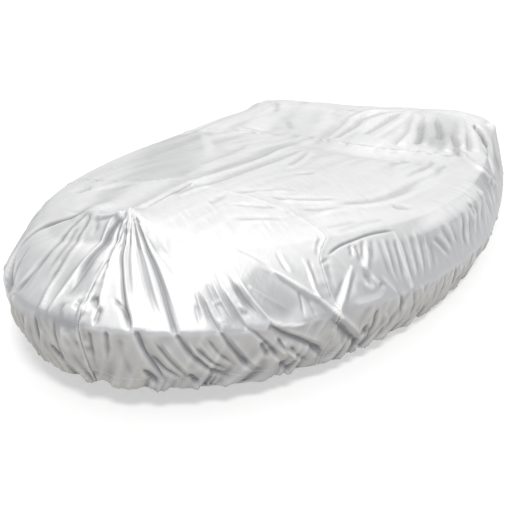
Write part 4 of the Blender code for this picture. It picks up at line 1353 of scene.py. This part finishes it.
@dataclass(frozen=True)
class SilverCloth:
    """Polyester cloth with a silver coating, with painted light and shade in its colour: a
    painted lit white where it faces the sky and the key light, painted shade where it faces down
    and in creases.
    """

    name: str
    # Colours: painted lit white for faces turned to the light, grey silver for the same cloth in
    # shade, painted shade for faces turned down, painted shade for the listed places, and painted
    # shade in creases.
    bleached: Colour = (0.92, 0.92, 0.915)
    silver: Colour = (0.450, 0.453, 0.465)
    low_silver: Colour = (0.360, 0.349, 0.325)
    dulled: Colour = (0.29, 0.294, 0.305)
    hollow: Colour = (0.16, 0.16, 0.17)
    metallic: float = 0.22
    roughness: float = 0.46
    weave: float = 0.0011
    weave_height: float = 0.00005
    crinkle_height: float = 0.0019
    drag_angle: float = 0.75  # radians from athwart to the drag lines of the top
    shade_on_top: float = 0.30

    def make(self) -> bpy.types.Material:
        """Makes the material.

        Returns:
            The finished material.
        """
        bench = ShaderBench(self.name)
        place = bench.wire(bench.node("ShaderNodeTexCoord"), "Object")
        cut = bench.wire(bench.node("ShaderNodeUVMap", {"uv_map": "cut"}))
        depth = bench.attribute("fold_depth")
        hem = bench.attribute("hem_wear")
        facing = bench.attribute("facing_up")
        shade_paint = bench.attribute("dullness")

        broad = bench.noise(place, 2.6, 3.0, Roughness=0.5)
        mottle = bench.noise(place, 38.0, 4.0, Roughness=0.6)
        tone = 0.10 * broad + 0.10 * mottle - 0.10
        # Painted light: faces turned to the sky and the key light get the painted lit white, the
        # rest the grey silver.
        upper = bench.blend((2.4 * facing - 1.55 + tone).clamped(), self.silver, self.bleached)
        # Painted shade on faces turned down, with a little more darkening towards the hem.
        under = (0.70 - 2.0 * facing).clamped()
        coat = bench.blend((0.85 * under + 0.15 * hem).clamped(), upper, self.low_silver)
        # Painted highlight on sharp crests, stronger where they face up.
        with_crest_highlight = bench.blend((-0.7 * depth * (facing + 0.4)).clamped(), coat, self.bleached)
        # Painted shade in creases and hollows, weaker where the cloth faces up.
        showing = bench.maths("MAXIMUM", 0.95 - 1.00 * facing, self.shade_on_top)
        shaded = (depth * showing).clamped()
        # Painted highlights and painted shade along the listed places.
        crested = bench.blend((-1.0 * shade_paint).clamped(), with_crest_highlight, self.bleached)
        worn = bench.blend(shade_paint.clamped(), crested, self.dulled)
        colour = bench.blend(0.85 * shaded, worn, self.hollow)

        along = bench.mapped(cut, Scale=(1.0, 0.30, 1.0))
        crinkle = bench.noise(along, 58.0, 5.0, Roughness=0.58, Distortion=0.6)
        cross = bench.mapped(cut, Scale=(0.45, 1.0, 1.0), Rotation=(0.0, 0.0, 0.6))
        ripple = bench.noise(cross, 21.0, 3.0, Roughness=0.5, Distortion=0.9)
        threads = []
        for direction in ("X", "Y"):
            threads.append(bench.wire(bench.node(
                "ShaderNodeTexWave", {"wave_type": "BANDS", "bands_direction": direction},
                Vector=cut, Scale=math.pi / (10.0 * self.weave)), "Fac"))
        weave = threads[0] * threads[1]

        slack = bench.mapped(place, "TEXTURE", Rotation=(0.0, 0.0, self.drag_angle),
                             Scale=(7.0, 1.0, 1.0))
        drag = bench.noise(slack, 34.0, 3.0, Roughness=0.5, Distortion=0.4)
        flat = (4.0 * facing - 3.2).clamped()

        folds = bench.node("ShaderNodeBump", Strength=1.0, Distance=self.crinkle_height,
                           Height=0.6 * crinkle + ripple + 0.5 * flat * drag)
        cloth = bench.node("ShaderNodeBump", Strength=0.6, Distance=self.weave_height,
                           Height=weave, Normal=bench.wire(folds))
        gloss = self.roughness - 0.05 + 0.16 * mottle + 0.12 * hem
        shader = bench.node("ShaderNodeBsdfPrincipled", Base_Color=colour, Roughness=gloss,
                            Metallic=self.metallic, Normal=bench.wire(cloth))
        shader.inputs["Specular IOR Level"].default_value = 0.5
        shader.inputs["Sheen Weight"].default_value = 0.10
        return bench.finished(shader)


@dataclass(frozen=True)
class SewingThread:
    """Twisted white thread."""

    name: str = "white_thread"
    colour: Colour = (0.82, 0.82, 0.80)

    def make(self) -> bpy.types.Material:
        """Makes the material.

        Returns:
            The finished material.
        """
        bench = ShaderBench(self.name)
        place = bench.wire(bench.node("ShaderNodeTexCoord"), "Object")
        twist = bench.noise(place, 900.0, 2.0)
        colour = bench.blend(twist, self.colour, tuple(0.8 * c for c in self.colour))
        bump = bench.node("ShaderNodeBump", Strength=0.5, Distance=0.0002, Height=twist)
        shader = bench.node("ShaderNodeBsdfPrincipled", Base_Color=colour, Roughness=0.6,
                            Normal=bench.wire(bump))
        return bench.finished(shader)


@dataclass(frozen=True)
class PaleFloor:
    """Matt pale floor with a glow of its own, so that shadows stay faint."""

    name: str = "pale_floor"
    colour: Colour = (0.60, 0.60, 0.60)
    glow: float = 0.42

    def make(self) -> bpy.types.Material:
        """Makes the material.

        Returns:
            The finished material.
        """
        bench = ShaderBench(self.name)
        shader = bench.node("ShaderNodeBsdfPrincipled", Base_Color=(*self.colour, 1.0),
                            Roughness=0.8)
        shader.inputs["Emission Color"].default_value = (1.0, 1.0, 1.0, 1.0)
        shader.inputs["Emission Strength"].default_value = self.glow
        return bench.finished(shader)


# ---------------------------------------------------------------- panels
def spread(stops: Sequence[tuple[float, float]], first: float, last: float) -> np.ndarray:
    """Places from first to last with a spacing that changes along the way.

    Args:
        stops: rows of place and the spacing there.
        first: first place.
        last: last place.

    Returns:
        Rising places, with both ends.
    """
    dense = np.linspace(first, last, 2000)
    spacing = np.interp(dense, [s[0] for s in stops], [s[1] for s in stops])
    count = np.concatenate([[0.0], np.cumsum(np.diff(dense) / spacing[:-1])])
    steps = max(2, int(round(count[-1])))
    return np.interp(np.linspace(0.0, count[-1], steps + 1), count, dense)


def blurred(grid: np.ndarray, reach: int) -> np.ndarray:
    """Moving average over a grid.

    Args:
        grid: values in rows and columns.
        reach: points on each side that count.

    Returns:
        The smooth values.
    """
    for axis in (0, 1):
        pads = [(reach + 1, reach) if n == axis else (0, 0) for n in (0, 1)]
        total = np.cumsum(np.pad(grid, pads, mode="edge"), axis=axis)
        count = grid.shape[axis]
        wide = 2 * reach + 1
        upper = np.take(total, range(wide, wide + count), axis=axis)
        grid = (upper - np.take(total, range(count), axis=axis)) / wide
    return grid


NARROW_DEPTH, BROAD_DEPTH = 0.0038, 0.012  # metres, depths that count in full for the painted shade of creases
SUN, PAINTED_LIGHT_SHARE = (0.5, -0.87), 0.25        # direction of the light whose shading is painted into the colour, and how much it counts


def hollows(lift: np.ndarray) -> np.ndarray:
    """How deep each point lies below the cloth round it.

    Args:
        lift: grid of heights over the smooth form.

    Returns:
        -0.6 on sharp crests, 0 on flats and up to 1 in deep narrow hollows.
    """
    near, far = blurred(lift, 3) - lift, blurred(lift, 10) - lift
    return np.clip(near / NARROW_DEPTH, -0.6, 0.6) + np.clip(far / BROAD_DEPTH, 0.0, 0.4)


def sky_share(outer: np.ndarray) -> np.ndarray:
    """How much the cloth faces the sky, and a little the light ahead of the bow, for the painted
    light and shade of its colour.

    Args:
        outer: grid of places on the outer face.

    Returns:
        1 where it faces straight up, about 0 where it is upright and -1 where it faces down.
    """
    normal = np.cross(np.gradient(outer, axis=0), np.gradient(outer, axis=1))
    length = np.maximum(np.linalg.norm(normal, axis=2), 1e-12)
    toward_light = SUN[0] * normal[..., 0] + SUN[1] * normal[..., 1]
    return blurred((normal[..., 2] + PAINTED_LIGHT_SHARE * toward_light) / length, 1)


LEVEL_STOPS = ((-1.0, 0.20), (-0.2, 0.08), (0.0, 0.040), (1.0, 0.036), (1.1, 0.021),
               (1.9, 0.021), (2.1, 0.018), (2.7, 0.018), (2.9, 0.022), (3.0, 0.014))
FINER = {1: 0.78, -1: 1.65}  # level spacing of the near side and of the far side


@dataclass(frozen=True)
class SewnPanel:
    """One cut panel of the cover as a thin sheet."""

    name: str
    node: str
    rib_from: float
    rib_to: float
    sides: tuple[int, ...]
    girth_stops: tuple[tuple[float, float], ...]
    flat: tuple[float, float]
    flat_area: float
    slant: float = 0.08
    thickness: float = 0.0009

    def side_grid(self, form: CoverForm, side: int) -> tuple[np.ndarray, np.ndarray]:
        """Girth and level of every point of one half of the panel.

        Args:
            form: shape of the cover.
            side: +1 port or -1 starboard.

        Returns:
            Two grids with a row for each rib.
        """
        finer = FINER[side]
        levels = spread([(stop, finer * step) for stop, step in LEVEL_STOPS], END, RIDGE)
        lead = self.sides[0]
        first = abs(float(form.rib_girth(self.rib_from, lead)))
        last = abs(float(form.rib_girth(self.rib_to, lead)))
        ribs = form.rib_run(lead * spread(self.girth_stops, first, last))
        girth = form.rib_girth(ribs, side)
        grid_level = np.repeat(levels[None, :], len(girth), axis=0)
        share = (girth - girth[0]) / (girth[-1] - girth[0])
        window = 4.0 * share * (1.0 - share)
        slanted = side * self.slant * window[:, None] * (1.0 - np.clip(grid_level, 0.0, 1.0))
        drift = form.drift(ribs[:, None], grid_level, side)
        return girth[:, None] + drift + slanted, grid_level

    def grid(self, form: CoverForm) -> tuple[np.ndarray, np.ndarray]:
        """Girth and level of every point of the panel.

        Args:
            form: shape of the cover.

        Returns:
            Two grids, from hem to hem where the panel has both halves.
        """
        grids = [self.side_grid(form, side) for side in self.sides]
        if len(grids) == 1:
            girth, level = grids[0]
            return (girth, level) if self.sides[0] > 0 else (girth[::-1], level[::-1])
        (port_g, port_l), (star_g, star_l) = grids
        return (np.concatenate([port_g, star_g[:, -2::-1]], axis=1),
                np.concatenate([port_l, star_l[:, -2::-1]], axis=1))

    def build(self, cloth: DrapedCloth, finish: bpy.types.Material) -> bpy.types.Object:
        """Makes the sheet.

        Args:
            cloth: the draped cloth.
            finish: material of the sheet.

        Returns:
            The finished piece.
        """
        girth, level = self.grid(cloth.form)
        rows, cols = girth.shape
        points, normals, lift = cloth.lift(girth.ravel(), level.ravel())
        outer = points + normals * lift[:, None]
        number = np.arange(rows * cols).reshape(rows, cols)
        quads = np.stack([number[:-1, :-1], number[1:, :-1], number[1:, 1:], number[:-1, 1:]],
                         axis=-1).reshape(-1, 4)
        mesh = bpy.data.meshes.new(self.name)
        mesh.from_pydata(outer.tolist(), [], quads.tolist())
        # Depth of each point in its hollow, which drives the painted crease shade and the painted
        # crest highlight.
        depth = hollows(lift.reshape(rows, cols)).ravel()
        # Closeness to the hem: the colour grows darker and the cloth rougher towards the hem.
        hem_nearness = np.exp(-np.clip(level.ravel() + 0.1, 0.0, None) / 0.16)
        # How the cloth faces the sky and the key light, which drives its painted light and shade.
        facing = sky_share(outer.reshape(rows, cols, 3)).ravel()
        # Painted shade, and painted highlight below 0, along the listed places.
        shade_paint = cloth.dullness(points, normals)
        for name, values in (("fold_depth", depth), ("hem_wear", hem_nearness), ("facing_up", facing),
                             ("dullness", shade_paint)):
            mesh.attributes.new(name, "FLOAT", "POINT").data.foreach_set(
                "value", values.astype(np.float32))
        cut = self.cut_map(points.reshape(rows, cols, 3))
        layer = mesh.uv_layers.new(name="cut")
        corner = np.zeros(len(mesh.loops), dtype=np.int32)
        mesh.loops.foreach_get("vertex_index", corner)
        layer.data.foreach_set("uv", cut.reshape(-1, 2)[corner].astype(np.float32).ravel())
        return self.finish_sheet(mesh, finish)

    def cut_map(self, points: np.ndarray) -> np.ndarray:
        """Flat place of each point on the cut panel, in metres.

        Args:
            points: grid of places on the smooth form.

        Returns:
            One u, v for each point.
        """
        across = np.linalg.norm(np.diff(points, axis=1), axis=2)
        run = np.concatenate([np.zeros((len(points), 1)), np.cumsum(across, axis=1)], axis=1)
        crown = np.argmax(points[..., 2], axis=1)
        run = run - run[np.arange(len(points)), crown][:, None]
        along = np.linalg.norm(np.diff(points, axis=0), axis=2)
        middle = np.median(along, axis=1)
        length = np.concatenate([[0.0], np.cumsum(middle)])
        return np.stack([np.repeat(length[:, None], points.shape[1], axis=1), run], axis=-1)

    def finish_sheet(self, mesh: bpy.types.Mesh, finish: bpy.types.Material
                     ) -> bpy.types.Object:
        """Closes the poles, gives the sheet its thickness and its material.

        Args:
            mesh: outer face of the sheet.
            finish: material of the sheet.

        Returns:
            The object, a thin solid sheet of cloth.
        """
        shell = bmesh.new()
        shell.from_mesh(mesh)
        bmesh.ops.remove_doubles(shell, verts=shell.verts, dist=MERGE_DISTANCE)
        bmesh.ops.dissolve_degenerate(shell, dist=1e-6, edges=shell.edges)
        shell.to_mesh(mesh)
        shell.free()
        mesh.shade_smooth()
        mesh.materials.append(finish)
        sheet = in_scene(self.name, mesh)
        solid = sheet.modifiers.new("cloth", "SOLIDIFY")
        solid.thickness = self.thickness
        solid.offset = -1.0
        solid.use_rim = True
        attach(sheet, BODY)
        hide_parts(self.node)
        return sheet


# Columns: name, node, first and last rib, sides, rows of girth and the spacing there, flat
# size, flat area and slant.  The flat sizes are measured on the folded faces.
PANELS = (
    SewnPanel("bow_port_cloth", "bow_port", 0.0, 1.0, (1,),
              ((0.0, 0.0028), (0.30, 0.0028), (0.45, 0.0036), (0.90, 0.0042)),
              (0.76, 0.99), 0.47, 0.12),
    SewnPanel("bow_starboard_cloth", "bow_starboard", 0.0, 1.0, (-1,),
              ((0.0, 0.0035), (0.60, 0.0045), (1.10, 0.008)), (1.27, 1.11), 0.73),
    SewnPanel("middle_cloth", "middle", 1.0, 2.0, (1, -1),
              ((0.90, 0.0054), (1.35, 0.0060), (1.60, 0.0092), (2.15, 0.0104),
               (2.40, 0.0068)), (1.76, 2.37), 3.05),
    SewnPanel("stern_cloth", "stern", 2.0, 3.0, (1, -1),
              ((2.32, 0.0064), (3.0, 0.0084), (3.96, 0.0115)), (1.78, 2.40), 2.55),
)


# ---------------------------------------------------------------- stitches
@dataclass
class StitchMaker:
    """Rows of stitches laid along lines by geometry nodes."""

    cloth: DrapedCloth
    thread: bpy.types.Material
    length: float = 0.0050
    radius: float = 0.00045
    pitch: float = 0.0078

    @cached_property
    def tree(self) -> bpy.types.NodeTree:
        """Node tree that turns lines into stitches.

        Returns:
            The tree, with its settings as named inputs.
        """
        tree = bpy.data.node_groups.new("stitch_rows", "GeometryNodeTree")
        face, bench = tree.interface, NodeBench(tree)
        face.new_socket("Lines", in_out="INPUT", socket_type="NodeSocketGeometry")
        for name, value in (("Pitch", self.pitch), ("Stitch Length", self.length),
                            ("Thread Radius", self.radius), ("Unevenness", 0.12)):
            socket = face.new_socket(name, in_out="INPUT", socket_type="NodeSocketFloat")
            socket.default_value = value
        face.new_socket("Thread", in_out="INPUT", socket_type="NodeSocketMaterial")
        face.new_socket("Stitches", in_out="OUTPUT", socket_type="NodeSocketGeometry")
        source = bench.node("NodeGroupInput")
        lines, pitch, length, radius, uneven, thread = (
            bench.wire(source, name) for name in ("Lines", "Pitch", "Stitch Length",
                                                  "Thread Radius", "Unevenness", "Thread"))
        curve = bench.wire(bench.node("GeometryNodeMeshToCurve", Mesh=lines))
        rows = bench.wire(bench.node("GeometryNodeResampleCurve", {"mode": "LENGTH"},
                                     Curve=curve, Length=pitch))
        bead = bench.wire(bench.node("GeometryNodeMeshUVSphere", Segments=6, Rings=4,
                                     Radius=1.0))
        tangent = bench.wire(bench.node("GeometryNodeInputTangent"))
        turn = bench.wire(bench.node("FunctionNodeAlignRotationToVector", {"axis": "Z"},
                                     Vector=tangent))
        size = bench.wire(bench.node("ShaderNodeCombineXYZ", X=radius, Y=radius,
                                     Z=0.5 * length))
        draw = bench.node("FunctionNodeRandomValue", {"data_type": "FLOAT"}, Seed=4)
        bench.feed(draw.inputs[2], 1.0 - uneven)
        bench.feed(draw.inputs[3], 1.0 + uneven)
        scaled = bench.wire(bench.node("ShaderNodeVectorMath", {"operation": "SCALE"},
                                       Vector=size, Scale=bench.wire(draw, 1)))
        placed = bench.wire(bench.node("GeometryNodeInstanceOnPoints", Points=rows,
                                       Instance=bead, Rotation=turn, Scale=scaled))
        real = bench.wire(bench.node("GeometryNodeRealizeInstances", Geometry=placed))
        dressed = bench.node("GeometryNodeSetMaterial", Geometry=real, Material=thread)
        bench.node("NodeGroupOutput", Stitches=bench.wire(dressed))
        return tree

    def rows_of(self, name: str, lines: Sequence[np.ndarray]) -> bpy.types.Object:
        """Stitches along some lines as one plain mesh.

        Args:
            name: name of the piece.
            lines: points of each line.

        Returns:
            The finished piece.
        """
        points = np.concatenate(lines)
        edges, start = [], 0
        for line in lines:
            edges += [(start + i, start + i + 1) for i in range(len(line) - 1)]
            start += len(line)
        mesh = bpy.data.meshes.new(name + "_lines")
        mesh.from_pydata(points.tolist(), edges, [])
        holder = in_scene(name + "_lines", mesh)
        modifier = holder.modifiers.new("stitches", "NODES")
        modifier.node_group = self.tree
        for item in modifier.node_group.interface.items_tree:
            if item.item_type == "SOCKET" and item.in_out == "INPUT" and item.name == "Thread":
                modifier[item.identifier] = self.thread
        bpy.context.view_layer.update()
        ready = holder.evaluated_get(bpy.context.evaluated_depsgraph_get())
        made = bpy.data.meshes.new_from_object(ready)
        made.name = name
        made.shade_smooth()
        bpy.data.objects.remove(holder)
        piece = in_scene(name, made)
        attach(piece, BODY)
        return piece

    def seam_rows(self, seam: SewnSeam) -> bpy.types.Object:
        """Two rows of stitches along a seam.

        Args:
            seam: the seam.

        Returns:
            The finished piece.
        """
        lines = []
        for shift in (-seam.stitch_offset, seam.stitch_offset):
            girth, level = seam.path(self.cloth.form, shift)
            lines.append(self.cloth.place(girth, level, 0.3 * self.radius))
        return self.rows_of(seam.name + "_stitches", lines)

    def hem_rows(self, level: float = 0.20) -> bpy.types.Object:
        """One row of stitches over the elastic of the hem.

        Args:
            level: level of the row.

        Returns:
            The finished piece.
        """
        end = self.cloth.form.girth_end
        girth = np.linspace(-end, end, 1500)
        line = self.cloth.place(girth, np.full(girth.shape, level), 0.3 * self.radius)
        return self.rows_of("hem_stitches", [line])


# ---------------------------------------------------------------- studio
@dataclass(frozen=True)
class SoftLight:
    """One broad light from far away, softened by its wide angle."""

    name: str
    azimuth: float    # degrees to port of straight ahead of the bow
    height: float     # degrees above the horizon
    spread: float     # degrees
    strength: float
    colour: Colour = (1.0, 1.0, 1.0)

    def build(self) -> None:
        """Hangs the light in the scene."""
        data = bpy.data.lights.new(self.name, "SUN")
        data.angle = math.radians(self.spread)
        data.energy = self.strength
        data.color = self.colour
        lamp = in_scene(self.name, data)
        place = towards(self.azimuth, self.height)
        lamp.location = 4.0 * place
        lamp.rotation_euler = (-place).to_track_quat("-Z", "Y").to_euler()


@dataclass
class Studio:
    """Floor, soft lights, pale surroundings and the camera."""

    floor_size: float = 90.0
    camera_place: tuple[float, float, float] = (1.021, -2.739, 0.665)
    azimuth: float = 22.65
    tilt: float = 21.03
    focal_pixels: float = 722.7
    frame_pixels: float = 510.0
    surroundings: Colour = (0.98, 0.985, 1.0)
    surroundings_strength: float = 0.52
    lights: tuple[SoftLight, ...] = (
        SoftLight("key", 36.0, 57.0, 14.0, 1.84, (1.0, 0.995, 0.985)),
        SoftLight("overhead", -150.0, 76.0, 60.0, 0.55),
    )

    def build(self, floor_z: float) -> None:
        """Builds everything round the cover.

        Args:
            floor_z: height of the floor.
        """
        self.build_floor(floor_z)
        for light in self.lights:
            light.build()
        world = bpy.data.worlds.new("pale_surroundings")
        world.use_nodes = True
        backdrop = world.node_tree.nodes["Background"]
        backdrop.inputs["Color"].default_value = (*self.surroundings, 1.0)
        backdrop.inputs["Strength"].default_value = self.surroundings_strength
        bpy.context.scene.world = world
        bpy.context.scene.view_settings.view_transform = "Standard"
        self.build_camera()

    def build_floor(self, floor_z: float) -> None:
        """Lays the floor.

        Args:
            floor_z: its height.
        """
        half = 0.5 * self.floor_size
        mesh = bpy.data.meshes.new("floor")
        mesh.from_pydata([(-half, -half, floor_z), (half, -half, floor_z),
                          (half, half, floor_z), (-half, half, floor_z)], [], [(0, 1, 2, 3)])
        mesh.materials.append(PaleFloor().make())
        in_scene("floor", mesh)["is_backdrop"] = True

    def build_camera(self) -> None:
        """Sets up the camera at the fitted viewing angle."""
        ahead, turn = -towards(self.azimuth, self.tilt), math.radians(self.azimuth)
        right = Vector((math.cos(turn), math.sin(turn), 0.0))
        data = bpy.data.cameras.new("camera")
        data.sensor_width = 36.0
        data.lens = self.focal_pixels / self.frame_pixels * data.sensor_width
        camera = in_scene("camera", data)
        matrix = Matrix((right, right.cross(ahead), -ahead)).transposed().to_4x4()
        matrix.translation = Vector(self.camera_place)
        camera.matrix_world = matrix
        bpy.context.scene.camera = camera


def main() -> None:
    """Builds the dressed cover and the studio round it."""
    logging.basicConfig(level=logging.INFO, format="%(name)s: %(message)s")
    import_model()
    tables = (BOW_FAN, BOW_POCKET, BAND_FOLDS, NEAR_WALL, TOP_FOLDS, STERN_FOLDS)
    folds = [Fold.of_row(row) for table in tables for row in table]
    for run in FOLD_RUNS:
        folds += run.folds()
    worn = tuple(PaintedShadePlace.of_row(row) for row in PAINTED_SHADE_PLACES)
    cloth = DrapedCloth(CoverForm(), folds, Gathers(), SEAMS, worn)

    finish = SilverCloth(CLOTH_SLOT).make()
    sheets = []
    for panel in PANELS:
        sheet = panel.build(cloth, finish)
        sheets.append(sheet)
        LOG.info("%s: %d faces", sheet.name, len(sheet.data.polygons))

    maker = StitchMaker(cloth, SewingThread().make())
    stitches = [maker.seam_rows(seam) for seam in SEAMS] + [maker.hem_rows()]
    for piece in stitches:
        LOG.info("%s: %d faces", piece.name, len(piece.data.polygons))
    for panel, sheet in zip(PANELS, sheets):
        area = sum(face.area for face in sheet.data.polygons)
        LOG.info("%s: area %.3f m2 of flat %.3f", sheet.name, area, panel.flat_area)

    Studio().build(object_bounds()[0].z)


if __name__ == "__main__":
    main()
